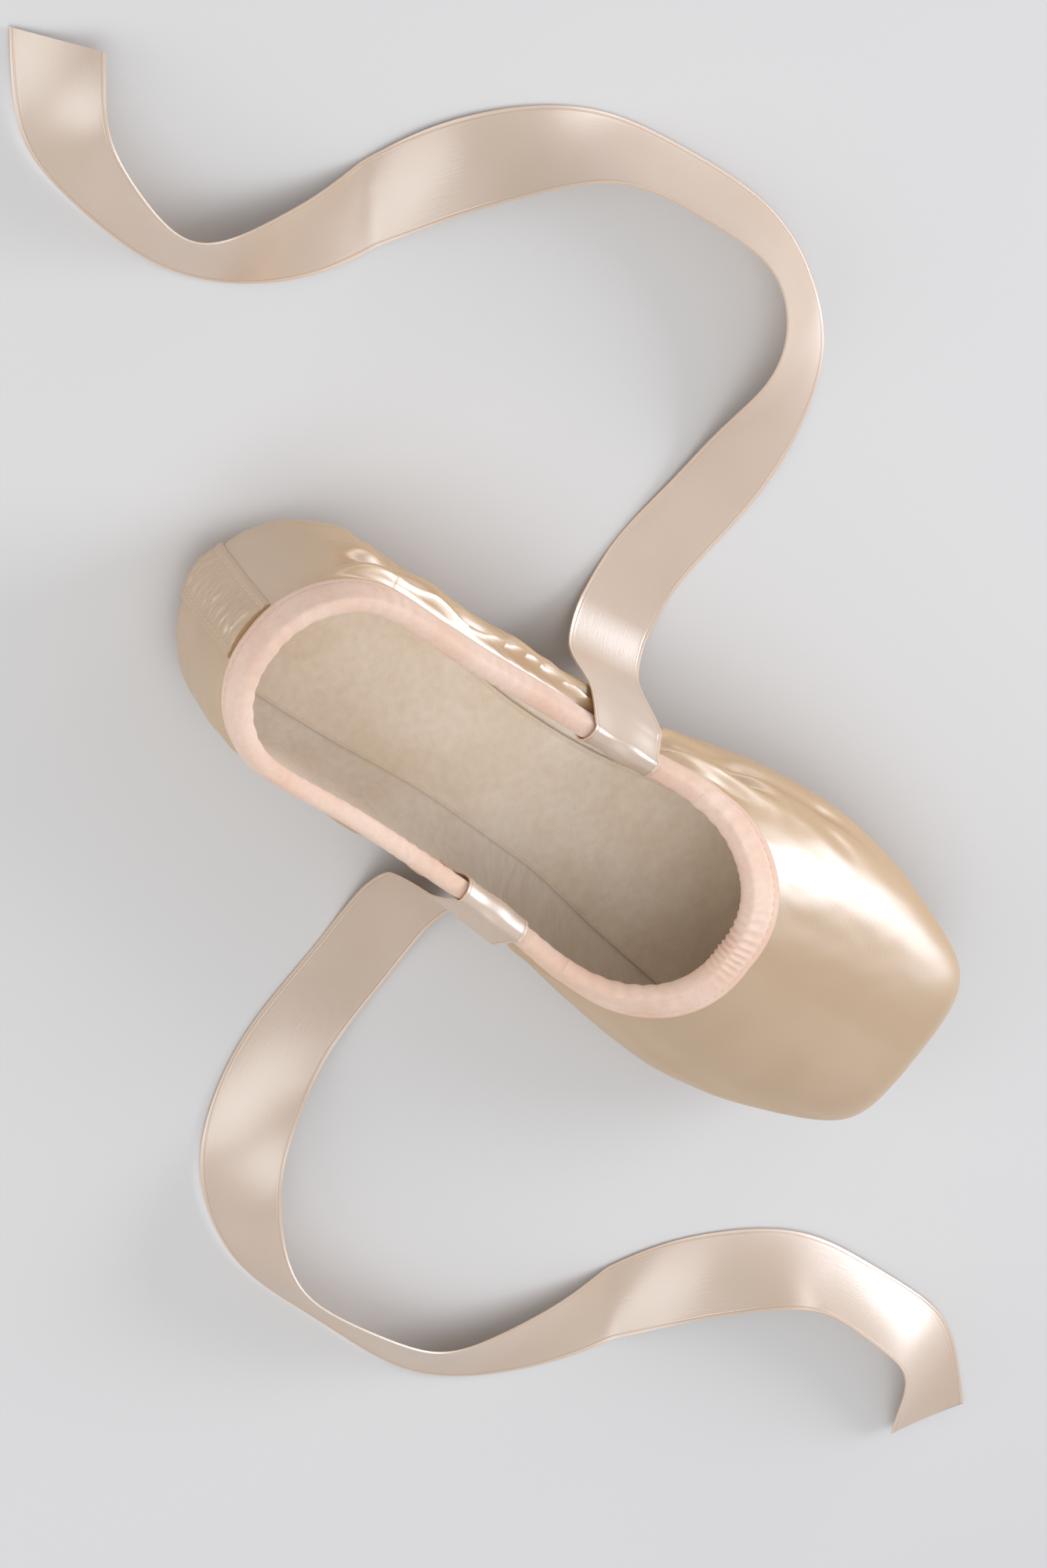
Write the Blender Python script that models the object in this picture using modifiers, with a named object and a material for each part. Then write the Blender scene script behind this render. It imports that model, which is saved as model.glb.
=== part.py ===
"""A ballet pointe shoe, standing empty on its sole, with its two ribbons lying loose beside it.

The toe points to -Y, the heel to +Y and +Z is up. The origin is on the floor, under the middle of the shoe.
Every piece is worked out from one body, the last: sections along the length, closed by a round heel and a flat platform.
The upper's ribs run on that body from the opening that the sole covers, out and up, and over to the collar.
"""

import math
from collections import namedtuple

import bpy
import numpy as np

# Driving dimensions, in metres
LENGTH = 0.240
BALL_WIDTH = 0.080
WAIST_WIDTH = 0.058
HEEL_WIDTH = 0.056
PLATFORM_WIDTH = 0.048
PLATFORM_TOP = 0.033
TOE_SPRING = 0.009
ARCH_RISE = 0.006
INSTEP_HEIGHT = 0.057
VAMP_LENGTH = 0.084
HEEL_HEIGHT = 0.056
SIDE_HEIGHT = 0.044
PLEAT_LENGTH = 0.029
THROAT_RADIUS = 0.027
QUARTER_WALL = 0.0018
BOX_WALL = 0.0032
SOLE_THICKNESS = 0.0028
SOLE_EDGE = 0.0020
SOLE_BALL_WIDTH = 0.051
SOLE_WAIST_WIDTH = 0.031
SOLE_HEEL_WIDTH = 0.038
LASTING_MARGIN = 0.007
INSOLE_THICKNESS = 0.0015
INSOLE_SPREAD = 0.0005
INSOLE_TOE_GAP = 0.022
BINDING_WIDTH = 0.009
BINDING_THICKNESS = 0.0010
STRIP_WIDTH = 0.016
STRIP_THICKNESS = 0.0009
RIBBON_WIDTH = 0.022
RIBBON_THICKNESS = 0.0006
SEAT_GAP = 0.0004

# How round the body is: the platform's edge, and the lean of its face per metre of height
PLATFORM_EDGE_POWER = 7
PLATFORM_LEAN = 0.08

# Where things lie along the shoe, worked out from the sizes above
STRIP_STAND = SEAT_GAP + STRIP_THICKNESS
HEEL_Y = LENGTH / 2 - STRIP_STAND
TOE_Y = -LENGTH / 2
BODY_LENGTH = HEEL_Y - TOE_Y
HEEL_CENTRE_Y = HEEL_Y - HEEL_WIDTH / 2
TOE_CENTRE_Y = TOE_Y + PLATFORM_WIDTH / 2
SOLE_FRONT_Y = TOE_Y + PLEAT_LENGTH
SOLE_FAN_Y = SOLE_FRONT_Y + 0.57 * SOLE_BALL_WIDTH
TOE_FAN_Y = TOE_Y + PLATFORM_WIDTH
THROAT_Y = TOE_Y + VAMP_LENGTH
THROAT_FAN_Y = THROAT_Y + THROAT_RADIUS
HEEL_FAN = (HEEL_Y - HEEL_CENTRE_Y) / BODY_LENGTH
SOLE_FAN = (HEEL_Y - SOLE_FAN_Y) / BODY_LENGTH
TOE_FAN = (HEEL_Y - TOE_FAN_Y) / BODY_LENGTH
THROAT_FAN = (HEEL_Y - THROAT_FAN_Y) / BODY_LENGTH
SEAT = SOLE_THICKNESS + SEAT_GAP
WIDEST = 0.36 * HEEL_HEIGHT
STRIP_FOOT = SEAT + 0.08 * HEEL_HEIGHT
RIBBON_Y = 0.0625 * LENGTH

# The last's sections: how far along from the heel, half width, height of the crest and of the underside,
# height of the widest line, and how square the section is above and below that line.
# Behind the throat the crest is only where the open walls would meet.
Section = namedtuple("Section", "along half_width crest underside widest dome belly")
SECTIONS = (
    Section(0.00, 0.49 * HEEL_WIDTH, 1.38 * HEEL_HEIGHT, SEAT, WIDEST, 2.4, 4.5),
    Section(0.12, 0.50 * HEEL_WIDTH, 1.36 * HEEL_HEIGHT, SEAT, WIDEST, 2.4, 4.5),
    Section(0.24, 0.49 * HEEL_WIDTH, 1.27 * HEEL_HEIGHT, SEAT, WIDEST, 2.3, 3.8),
    Section(0.44, 0.50 * WAIST_WIDTH, 1.12 * INSTEP_HEIGHT, SEAT + ARCH_RISE, 1.10 * WIDEST, 2.2, 2.6),
    Section(0.56, 0.43 * BALL_WIDTH, 1.07 * INSTEP_HEIGHT, SEAT + 0.3 * ARCH_RISE, 1.10 * WIDEST, 2.2, 2.9),
    Section(0.64, 0.475 * BALL_WIDTH, 1.02 * INSTEP_HEIGHT, SEAT, 1.07 * WIDEST, 2.2, 3.2),
    Section(0.74, 0.50 * BALL_WIDTH, 0.91 * INSTEP_HEIGHT, SEAT, 1.03 * WIDEST, 2.3, 3.2),
    Section(0.81, 0.482 * BALL_WIDTH, 0.82 * INSTEP_HEIGHT, SEAT, WIDEST, 2.4, 3.2),
    Section(0.92, 0.66 * PLATFORM_WIDTH, 1.20 * PLATFORM_TOP, 0.55 * TOE_SPRING, WIDEST, 2.7, 3.0),
    Section(1.00, 0.50 * PLATFORM_WIDTH, PLATFORM_TOP, TOE_SPRING, 1.03 * WIDEST, 3.0, 3.0),
)

# Stations round the shoe, from the middle of the heel (0) to the middle of the toe (1), the same on both sides.
# A rib's rays start along the shoe at sole, then level, then collar: one place in each fan, moving between them.
# sole_reach is how far the sole goes out from its centreline, and the collar's height and reach aim its edge.
HEEL_TURN = 0.16
TOE_TURN = 0.76
Station = namedtuple("Station", "round sole level collar sole_reach collar_height collar_reach")
STATIONS = (
    Station(0.00, HEEL_FAN, HEEL_FAN, HEEL_FAN, 0.58 * SOLE_HEEL_WIDTH, HEEL_HEIGHT, 0.42 * HEEL_WIDTH),
    Station(0.08, HEEL_FAN, HEEL_FAN, HEEL_FAN, 0.54 * SOLE_HEEL_WIDTH, 0.98 * HEEL_HEIGHT, 0.43 * HEEL_WIDTH),
    Station(0.16, HEEL_FAN, HEEL_FAN, HEEL_FAN, 0.50 * SOLE_HEEL_WIDTH, 0.94 * HEEL_HEIGHT, 0.44 * HEEL_WIDTH),
    Station(0.28, 0.24, 0.24, 0.23, 0.48 * SOLE_HEEL_WIDTH, 1.10 * SIDE_HEIGHT, 0.45 * HEEL_WIDTH),
    Station(0.40, 0.38, 0.38, 0.33, 0.50 * SOLE_WAIST_WIDTH, 1.02 * SIDE_HEIGHT, 0.45 * WAIST_WIDTH),
    Station(0.50, 0.49, 0.50, 0.39, 0.53 * SOLE_WAIST_WIDTH, SIDE_HEIGHT, 0.46 * WAIST_WIDTH),
    Station(0.64, 0.63, 0.66, 0.465, 0.42 * SOLE_BALL_WIDTH, 1.02 * SIDE_HEIGHT, 0.50 * WAIST_WIDTH),
    Station(0.76, SOLE_FAN, TOE_FAN, THROAT_FAN, 0.50 * SOLE_BALL_WIDTH, 0.84 * INSTEP_HEIGHT, 1.05 * THROAT_RADIUS),
    Station(0.88, SOLE_FAN, TOE_FAN, THROAT_FAN, 0.51 * SOLE_BALL_WIDTH, 0.94 * INSTEP_HEIGHT, THROAT_RADIUS),
    Station(1.00, SOLE_FAN, TOE_FAN, THROAT_FAN, SOLE_FAN_Y - SOLE_FRONT_Y, INSTEP_HEIGHT, THROAT_RADIUS),
)

# How finely the pieces are divided
HEEL_RIBS = 9
SIDE_RIBS = 15
TOE_RIBS = 10
RIB_POINTS = 22
TRACE_POINTS = 81
BEND_WEIGHT = 0.008
WAIST_SHARE = 0.42
SOLE_SHARES = (0.0, 0.35, 0.60, 0.76, 0.89, 1.0)
SOLE_FLAT_SHARE = 0.60
INSOLE_SHARES = (0.0, 0.38, 0.65, 0.85, 1.0)
STRIP_COLUMNS = 7
STRIP_ROWS = 17
RIBBON_DIVISIONS = 3
FARTHEST = 0.2
HALVINGS = 40
NUDGE = 1e-5

# Where a ribbon passes over the collar: how far below the edge in binding widths, and in shares of the three stands
# that ribbon_over_collar works out: along the lining, inside the binding and outside it
RIBBON_BULGE = 0.0007
Pass = namedtuple("Pass", "below lining inner outer")
PASSES_IN = (
    Pass(2.9, 1.3, 0, 0),
    Pass(2.1, 1.3, 0, 0),
    Pass(1.3, 0, 1, 0),
    Pass(0.0, 0, 1, 0),
)
PASSES_OUT = (
    Pass(0.0, 0, 0, 1),
    Pass(1.1, 0, 0, 1),
    Pass(2.2, 0, 0, 1.1),
)

# The stretches of ribbon that lie loose, chosen by hand: out from the waist's side, along the shoe from where the
# ribbon is sewn and up from the floor, in ribbon widths, and how far the ribbon leans over, in degrees
Lying = namedtuple("Lying", "out along lift lean")
LYING_OUTER = (
    Lying(0.32, 0.00, 0.50, 0),
    Lying(0.82, 0.05, 0.10, 0),
    Lying(1.50, 0.09, 0.01, 0),
    Lying(2.73, 0.00, 0.01, 4),
    Lying(4.27, 0.27, 0.01, 34),
    Lying(5.27, 1.77, 0.01, 64),
    Lying(5.09, 3.64, 0.01, 60),
    Lying(3.86, 5.05, 0.01, 24),
    Lying(2.23, 5.95, 0.01, -20),
    Lying(1.32, 7.32, 0.01, -58),
    Lying(1.59, 8.77, 0.01, -44),
    Lying(2.59, 9.68, 0.01, -8),
)
LYING_INNER = (
    Lying(0.32, 0.00, 0.50, 0),
    Lying(0.82, -0.05, 0.10, 0),
    Lying(1.50, -0.09, 0.01, 0),
    Lying(2.68, -0.05, 0.01, -4),
    Lying(4.18, -0.41, 0.01, -36),
    Lying(5.18, -1.86, 0.01, -66),
    Lying(5.14, -3.73, 0.01, -56),
    Lying(4.09, -5.27, 0.01, -18),
    Lying(2.59, -6.32, 0.01, 22),
    Lying(1.64, -7.73, 0.01, 56),
    Lying(1.68, -9.32, 0.01, 40),
    Lying(2.55, -10.41, 0.01, 6),
)


def smooth_rise(x, low, high):
    """0 below low and 1 above high, with a soft S between them."""
    t = np.clip((x - low) / (high - low), 0, 1)
    return t * t * (3 - 2 * t)


def through(x, knots, values):
    """A smooth curve through the table's values that never overshoots them: a monotone cubic."""
    knots, values = np.asarray(knots, float), np.asarray(values, float)
    step = np.diff(knots)
    slope = np.diff(values) / step
    product = slope[:-1] * slope[1:]
    total = np.where(product > 0, slope[:-1] + slope[1:], 1)
    inner = np.where(product > 0, 2 * product / total, 0)
    tangent = np.concatenate([slope[:1], inner, slope[-1:]])
    i = np.clip(np.searchsorted(knots, x) - 1, 0, len(step) - 1)
    t = (x - knots[i]) / step[i]
    return (
        values[i] * (1 + 2 * t) * (1 - t) ** 2
        + tangent[i] * step[i] * t * (1 - t) ** 2
        + values[i + 1] * t**2 * (3 - 2 * t)
        + tangent[i + 1] * step[i] * t**2 * (t - 1)
    )


def from_table(table, x, column):
    """One column of a table of rows, read at x in the table's first column."""
    return through(x, [row[0] for row in table], [getattr(row, column) for row in table])


def body_size(points):
    """How far out a point lies in the last: 1 on its surface, less inside.

    Across and height combine as a superellipse. Past the heel's centre the distance back joins the distance across,
    which rounds the heel, and past the toe's centre the distance forward joins with a high power, for the flat platform.
    """
    x, y, z = points[..., 0], points[..., 1], points[..., 2]
    along = np.clip((HEEL_Y - y) / BODY_LENGTH, 0, 1)
    half_width, crest, underside, widest, dome, belly = (
        from_table(SECTIONS, along, column) for column in Section._fields[1:]
    )
    back = np.clip((y - HEEL_CENTRE_Y) / (HEEL_Y - HEEL_CENTRE_Y), 0, None)
    platform_y = TOE_Y + PLATFORM_LEAN * np.clip(z - TOE_SPRING, 0, None)
    forward = np.clip((TOE_CENTRE_Y - y) / (TOE_CENTRE_Y - platform_y), 0, None)
    above = z > widest
    power = np.where(above, dome, belly)
    height = np.where(above, crest - widest, widest - underside)
    across = np.hypot(x / half_width, back)
    section = (across**power + np.abs((z - widest) / height) ** power) ** (1 / power)
    return (section**PLATFORM_EDGE_POWER + forward**PLATFORM_EDGE_POWER) ** (1 / PLATFORM_EDGE_POWER)


def cast(origin, direction):
    """Where rays from inside the last leave it, found by halving."""
    near = np.zeros(origin.shape[:-1])
    far = np.full(origin.shape[:-1], FARTHEST)
    for _ in range(HALVINGS):
        middle = (near + far) / 2
        inside = body_size(origin + middle[..., None] * direction) < 1
        near, far = np.where(inside, middle, near), np.where(inside, far, middle)
    return origin + far[..., None] * direction


def outward(points):
    """The last's outward direction at points on it, from the slope of body_size."""
    slopes = []
    for axis in np.eye(3) * NUDGE:
        slopes.append(body_size(points + axis) - body_size(points - axis))
    slope = np.stack(slopes, -1)
    return slope / np.linalg.norm(slope, axis=-1, keepdims=True)


def wall_at(points):
    """The upper's thickness: thin quarters, and a stiffened box from a little behind the throat."""
    boxed = smooth_rise(-points[..., 1], -(THROAT_Y + THROAT_RADIUS), -(THROAT_Y - THROAT_RADIUS))
    return QUARTER_WALL + (BOX_WALL - QUARTER_WALL) * boxed


def rounds():
    """The stations round the shoe, heel to toe to heel, closer together where the heel and the toe turn."""
    half = np.concatenate(
        [
            np.linspace(0, HEEL_TURN, HEEL_RIBS, endpoint=False),
            np.linspace(HEEL_TURN, TOE_TURN, SIDE_RIBS, endpoint=False),
            np.linspace(TOE_TURN, 1, TOE_RIBS + 1),
        ]
    )
    return np.concatenate([-half, half[-2:0:-1]])


def headings(around):
    """The level direction of each station's rib: back at the heel, sideways along the shoe, forward at the toe."""
    side, share = np.where(around < 0, -1, 1), np.abs(around)
    heel = 1 - np.clip(share / HEEL_TURN, 0, 1)
    toe = np.clip((share - TOE_TURN) / (1 - TOE_TURN), 0, 1)
    turn = (heel - toe) * math.pi / 2
    return np.stack([side * np.cos(turn), np.sin(turn), np.zeros_like(turn)], -1)


def spine(around, column):
    """Where each station's rays start: on the widest line's level, above the middle of the shoe."""
    y = HEEL_Y - BODY_LENGTH * from_table(STATIONS, np.abs(around), column)
    return np.stack([np.zeros_like(y), y, widest_line(y)], -1)


def widest_line(y):
    return from_table(SECTIONS, np.clip((HEEL_Y - y) / BODY_LENGTH, 0, 1), "widest")


def underside_at(spot):
    """The point of the last straight under a spot in plan."""
    start = np.stack([spot[..., 0], spot[..., 1], widest_line(spot[..., 1])], -1)
    return cast(start, np.broadcast_to([0.0, 0.0, -1.0], start.shape))


def traced_ribs(around):
    """Each station's rib as a fine line on the last, from the sole's opening to the collar.

    A ray swings from the opening, through level, up to the collar, while its start moves along the shoe.
    """
    ahead = headings(around)
    share = np.abs(around)
    low, level, high = (spine(around, column) for column in ("sole", "level", "collar"))
    opening = from_table(STATIONS, share, "sole_reach") - LASTING_MARGIN
    edge = underside_at(low + opening[:, None] * ahead)
    first = -np.arctan2(low[:, 2] - edge[:, 2], opening)
    last = np.arctan2(
        from_table(STATIONS, share, "collar_height") - high[:, 2], from_table(STATIONS, share, "collar_reach")
    )
    v = np.linspace(0, 1, TRACE_POINTS)[:, None]
    below = np.clip(1 - v / WAIST_SHARE, 0, 1)
    above = np.clip((v - WAIST_SHARE) / (1 - WAIST_SHARE), 0, 1)
    lift = (first * below + last * above)[..., None]
    down, up = smooth_rise(below, 0, 1)[..., None], smooth_rise(above, 0, 1)[..., None]
    start = level + (low - level) * down + (high - level) * up
    ray = ahead * np.cos(lift) + np.array([0.0, 0.0, 1.0]) * np.sin(lift)
    return cast(start, ray).transpose(1, 0, 2)


def lengths(lines, bend_weight=0.0):
    """How far along each line its points are, with a little added wherever the line bends."""
    step = np.diff(lines, axis=1)
    size = np.linalg.norm(step, axis=-1)
    unit = step / size[..., None]
    bend = np.arccos(np.clip((unit[:, 1:] * unit[:, :-1]).sum(-1), -1, 1))
    size[:, 1:] += bend_weight * bend
    return np.concatenate([np.zeros((len(lines), 1)), np.cumsum(size, axis=1)], axis=1)


def read_lines(lines, distance, wanted):
    """Points of each line at the wanted distances along it."""
    read = [
        np.stack([np.interp(want, far, line[:, axis]) for axis in range(3)], -1)
        for line, far, want in zip(lines, distance, wanted)
    ]
    return np.array(read)


def rib_grid(around):
    """The ribs with few points, closer together where they bend, the last three of them under the binding."""
    lines = traced_ribs(around)
    distance, plain = lengths(lines, BEND_WEIGHT), lengths(lines)
    under_binding = plain[:, -1:] - BINDING_WIDTH * np.array([1.0, 0.5, 0.0])
    weighted = [np.interp(want, far, weight) for want, far, weight in zip(under_binding, plain, distance)]
    weighted = np.array(weighted)
    rest = weighted[:, :1] * np.linspace(0, 1, RIB_POINTS - 2)[:-1]
    return read_lines(lines, distance, np.concatenate([rest, weighted], 1))


def collar_points(around, below):
    """Points on the last at a distance below the collar's edge, one for each station."""
    lines = traced_ribs(around)
    distance = lengths(lines)
    return read_lines(lines, distance, distance[:, -1:] - below)[:, 0]


def new_object(name, vertices, faces, material):
    mesh = bpy.data.meshes.new(name)
    mesh.from_pydata([tuple(v) for v in vertices], [], faces)
    mesh.materials.append(material)
    mesh.validate()
    mesh.update()
    mesh.shade_smooth()
    mesh.set_sharp_from_angle(angle=math.radians(50))
    made = bpy.data.objects.new(name, mesh)
    SHOE.objects.link(made)
    return made


def grid_faces(rows, columns, close_rows=False, close_columns=False):
    """Four-sided faces between neighbouring points of a grid, joined round where it closes."""
    faces = []
    for i in range(rows if close_rows else rows - 1):
        for j in range(columns if close_columns else columns - 1):
            k, m = (i + 1) % rows, (j + 1) % columns
            faces.append((i * columns + j, k * columns + j, k * columns + m, i * columns + m))
    return faces


def tidy(made):
    """Merges the points that fall together and turns every face outwards."""
    bpy.context.view_layer.objects.active = made
    bpy.ops.object.select_all(action="DESELECT")
    made.select_set(True)
    bpy.ops.object.mode_set(mode="EDIT")
    bpy.ops.mesh.select_all(action="SELECT")
    bpy.ops.mesh.remove_doubles(threshold=1e-6)
    bpy.ops.mesh.normals_make_consistent(inside=False)
    bpy.ops.object.mode_set(mode="OBJECT")
    return made


def solidify(made, thickness, offset):
    wall = made.modifiers.new("wall", "SOLIDIFY")
    wall.thickness = thickness
    wall.offset = offset
    return wall


def finish(name, colour, roughness):
    """A material with its colour in linear light and its gloss."""
    material = bpy.data.materials.new(name)
    material.use_nodes = True
    shader = material.node_tree.nodes["Principled BSDF"]
    shader.inputs["Base Color"].default_value = (*colour, 1)
    shader.inputs["Roughness"].default_value = roughness
    shader.inputs["Metallic"].default_value = 0
    return material


def make_upper(around, satin):
    """The satin-covered box and quarters: one wall on the last, open at the collar and under the foot."""
    grid = rib_grid(around)
    upper = new_object(
        "upper", grid.reshape(-1, 3), grid_faces(len(around), RIB_POINTS, close_rows=True), satin
    )
    stiffened = upper.vertex_groups.new(name="stiffened box")
    for i, thickness in enumerate(wall_at(grid.reshape(-1, 3))):
        stiffened.add([i], thickness / BOX_WALL, "REPLACE")
    wall = solidify(upper, BOX_WALL, -1)
    wall.vertex_group = "stiffened box"
    return upper


def make_binding(upper, tape):
    """The drawstring casing: tape folded over the collar's edge, one channel all the way round."""
    skin = np.array([vertex.co for vertex in upper.data.vertices]).reshape(-1, RIB_POINTS, 3)[:, -3:]
    out = np.array([vertex.normal for vertex in upper.data.vertices]).reshape(-1, RIB_POINTS, 3)[:, -3:]
    inside = skin - wall_at(skin)[..., None] * out
    over = skin[:, 2] - skin[:, 1]
    over /= np.linalg.norm(over, axis=-1, keepdims=True)
    reach = SEAT_GAP + BINDING_THICKNESS
    outer = [skin[:, i] + reach * out[:, i] for i in (0, 1, 2)]
    rim = [skin[:, 2] + 0.6 * reach * out[:, 2] + reach * over, inside[:, 2] - 0.6 * reach * out[:, 2] + reach * over]
    inner = [inside[:, i] - reach * out[:, i] for i in (2, 1, 0)]
    next_to_lining = [inside[:, i] - SEAT_GAP * out[:, i] for i in (0, 1)]
    next_to_rim = [
        inside[:, 2] + SEAT_GAP * (over - out[:, 2]),
        skin[:, 2] + SEAT_GAP * (over + out[:, 2]),
    ]
    next_to_satin = [skin[:, i] + SEAT_GAP * out[:, i] for i in (1, 0)]
    loop = np.stack(outer + rim + inner + next_to_lining + next_to_rim + next_to_satin, 1)
    faces = grid_faces(len(skin), loop.shape[1], close_rows=True, close_columns=True)
    return tidy(new_object("collar_binding", loop.reshape(-1, 3), faces, tape))


def make_plate(name, lower, upper, material):
    """A closed plate from two grids with one outline: faces below, faces above and the edge between them."""
    rows, columns = lower.shape[:2]
    count = rows * columns
    faces = grid_faces(rows, columns, close_rows=True)
    faces += [tuple(count + i for i in face[::-1]) for face in faces]
    rim = columns - 1
    for i in range(rows):
        k = (i + 1) % rows
        faces.append((i * columns + rim, k * columns + rim, count + k * columns + rim, count + i * columns + rim))
    return tidy(new_object(name, np.concatenate([lower, upper]).reshape(-1, 3), faces, material))


def plan_grid(around, reach, shares):
    """Spots in plan from the sole's centreline out to a reach, station by station."""
    low = spine(around, "sole")[:, None]
    return low + (reach[:, None] * np.array(shares))[..., None] * headings(around)[:, None]


def make_outsole(around, leather):
    """The leather sole: it follows the upper above, stands flat under ball and heel, and thins to its edge."""
    reach = from_table(STATIONS, np.abs(around), "sole_reach")
    spots = plan_grid(around, reach, SOLE_SHARES)
    on_last = underside_at(spots)
    top = on_last + SEAT_GAP * outward(on_last)
    along = (HEEL_Y - spots[..., 1]) / BODY_LENGTH
    flat = from_table(SECTIONS, along, "underside") - SEAT
    to_edge = smooth_rise(np.array(SOLE_SHARES), SOLE_FLAT_SHARE, 1)
    bottom = top.copy()
    bottom[..., 2] = flat + (top[..., 2] - SOLE_EDGE - flat) * to_edge
    return make_plate("outsole", bottom, top, leather)


def make_insole(around, lining):
    """The sock that lines the foot bed, lying on the upper's turned-in edge."""
    share = np.abs(around)
    reach = from_table(STATIONS, share, "sole_reach") + INSOLE_SPREAD
    toe = SOLE_FAN_Y - (TOE_Y + INSOLE_TOE_GAP)
    reach += (toe - reach) * smooth_rise(share, TOE_TURN, 1)
    on_last = underside_at(plan_grid(around, reach, INSOLE_SHARES))
    inward = -outward(on_last)
    seat = wall_at(on_last)[..., None] + SEAT_GAP
    return make_plate("insole", on_last + seat * inward, on_last + (seat + INSOLE_THICKNESS) * inward, lining)


def make_heel_strip(satin):
    """The folded strip that covers the back seam, from the sole up to the binding."""
    under_binding = collar_points(np.linspace(-HEEL_TURN, HEEL_TURN, TRACE_POINTS), BINDING_WIDTH + 2 * SEAT_GAP)
    across = np.linspace(-STRIP_WIDTH / 2, STRIP_WIDTH / 2, STRIP_COLUMNS)
    top = np.interp(across, under_binding[:, 0], under_binding[:, 2])
    rise = np.linspace(0, 1, STRIP_ROWS)[:, None]
    z = STRIP_FOOT + rise * (top - STRIP_FOOT)
    x = np.broadcast_to(across, z.shape)
    start = np.stack([x, np.full_like(x, HEEL_CENTRE_Y), z], -1)
    on_last = cast(start, np.broadcast_to([0.0, 1.0, 0.0], start.shape))
    face = on_last + STRIP_STAND * outward(on_last)
    strip = new_object("heel_strip", face.reshape(-1, 3), grid_faces(STRIP_ROWS, STRIP_COLUMNS), satin)
    solidify(strip, STRIP_THICKNESS, -1)
    return strip


def side_points(side, below, wanted):
    """Points on the last at a distance below the collar's edge, at the wanted places along the shoe."""
    line = collar_points(side * np.linspace(HEEL_TURN, TOE_TURN, TRACE_POINTS), below)
    return np.stack([np.interp(-wanted, -line[:, 1], line[:, axis]) for axis in range(3)], -1)


def ribbon_over_collar(side):
    """Where a ribbon comes up along the lining, turns over the binding and goes down outside: middle and across."""
    wanted = RIBBON_Y + RIBBON_WIDTH * np.array([-0.5, 0, 0.5])
    outer = 2 * SEAT_GAP + BINDING_THICKNESS + RIBBON_THICKNESS / 2 + RIBBON_BULGE
    inner = -(QUARTER_WALL + outer)
    lining = -(QUARTER_WALL + SEAT_GAP + RIBBON_THICKNESS / 2)
    spots = []
    for row in PASSES_IN + PASSES_OUT:
        on_last = side_points(side, row.below * BINDING_WIDTH, wanted)
        spots.append(on_last + (row.lining * lining + row.inner * inner + row.outer * outer) * outward(on_last))
    rim = side_points(side, 0, wanted)
    rim = rim - QUARTER_WALL / 2 * outward(rim) + np.array([0, 0, outer + RIBBON_BULGE])
    spots.insert(len(PASSES_IN), rim)
    spots = np.array(spots)
    return spots[:, 1], (spots[:, 2] - spots[:, 0]) / np.linalg.norm(spots[:, 2] - spots[:, 0], axis=-1)[:, None]


def ribbon_lying(side, lying):
    """The stretch that lies loose, and the direction across it, level but for its lean."""
    rows = np.array(lying)
    out, along, lift = RIBBON_WIDTH * rows[:, :3].T
    middle = np.stack([side * (WAIST_WIDTH / 2 + out), RIBBON_Y + along, lift], -1)
    ahead = np.gradient(middle[:, :2], axis=0)
    ahead /= np.linalg.norm(ahead, axis=1)[:, None]
    lean = np.radians(rows[:, 3])
    level = np.stack([-ahead[:, 1], ahead[:, 0], np.zeros(len(rows))], -1) * side
    return middle, level * np.cos(lean)[:, None] + np.array([0, 0, 1]) * np.sin(lean)[:, None]


def ribbon_edges(side, lying):
    """A ribbon's two long edges, as smooth curves, with the lower one never under the floor."""
    sewn, sewn_across = ribbon_over_collar(side)
    loose, loose_across = ribbon_lying(side, lying)
    middle = np.concatenate([sewn, loose])
    across = np.concatenate([sewn_across, loose_across])
    knots = np.concatenate([[0], np.cumsum(np.linalg.norm(np.diff(middle, axis=0), axis=1))])
    at = np.interp(np.arange(0, len(knots) - 0.99, 1 / RIBBON_DIVISIONS), np.arange(len(knots)), knots)
    middle = np.stack([through(at, knots, column) for column in middle.T], -1)
    across = np.stack([through(at, knots, column) for column in across.T], -1)
    across /= np.linalg.norm(across, axis=1)[:, None]
    middle[:, 2] += RIBBON_WIDTH / 2 * np.abs(across[:, 2]) + RIBBON_THICKNESS / 2
    return np.stack([middle - across * RIBBON_WIDTH / 2, middle + across * RIBBON_WIDTH / 2], 1)


def make_ribbon(name, side, lying, satin):
    """One satin ribbon: sewn in at the quarter, over the collar and loose on the floor."""
    edges = ribbon_edges(side, lying)
    ribbon = new_object(name, edges.reshape(-1, 3), grid_faces(len(edges), 2), satin)
    solidify(ribbon, RIBBON_THICKNESS, 0)
    return ribbon


for old in list(bpy.data.objects):
    bpy.data.objects.remove(old, do_unlink=True)
SHOE = bpy.data.collections.new("pointe_shoe")
bpy.context.scene.collection.children.link(SHOE)

peach_satin = finish("peach satin", (0.78, 0.55, 0.38), 0.35)
cotton_tape = finish("pink cotton tape", (0.83, 0.60, 0.48), 0.8)
buff_leather = finish("buff leather", (0.66, 0.44, 0.27), 0.6)
cream_lining = finish("cream lining", (0.80, 0.66, 0.52), 0.9)

stations = rounds()
made_upper = make_upper(stations, peach_satin)
make_binding(made_upper, cotton_tape)
make_outsole(stations, buff_leather)
make_insole(stations, cream_lining)
make_heel_strip(peach_satin)
make_ribbon("ribbon_outer", 1, LYING_OUTER, peach_satin)
make_ribbon("ribbon_inner", -1, LYING_INNER, peach_satin)
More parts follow.
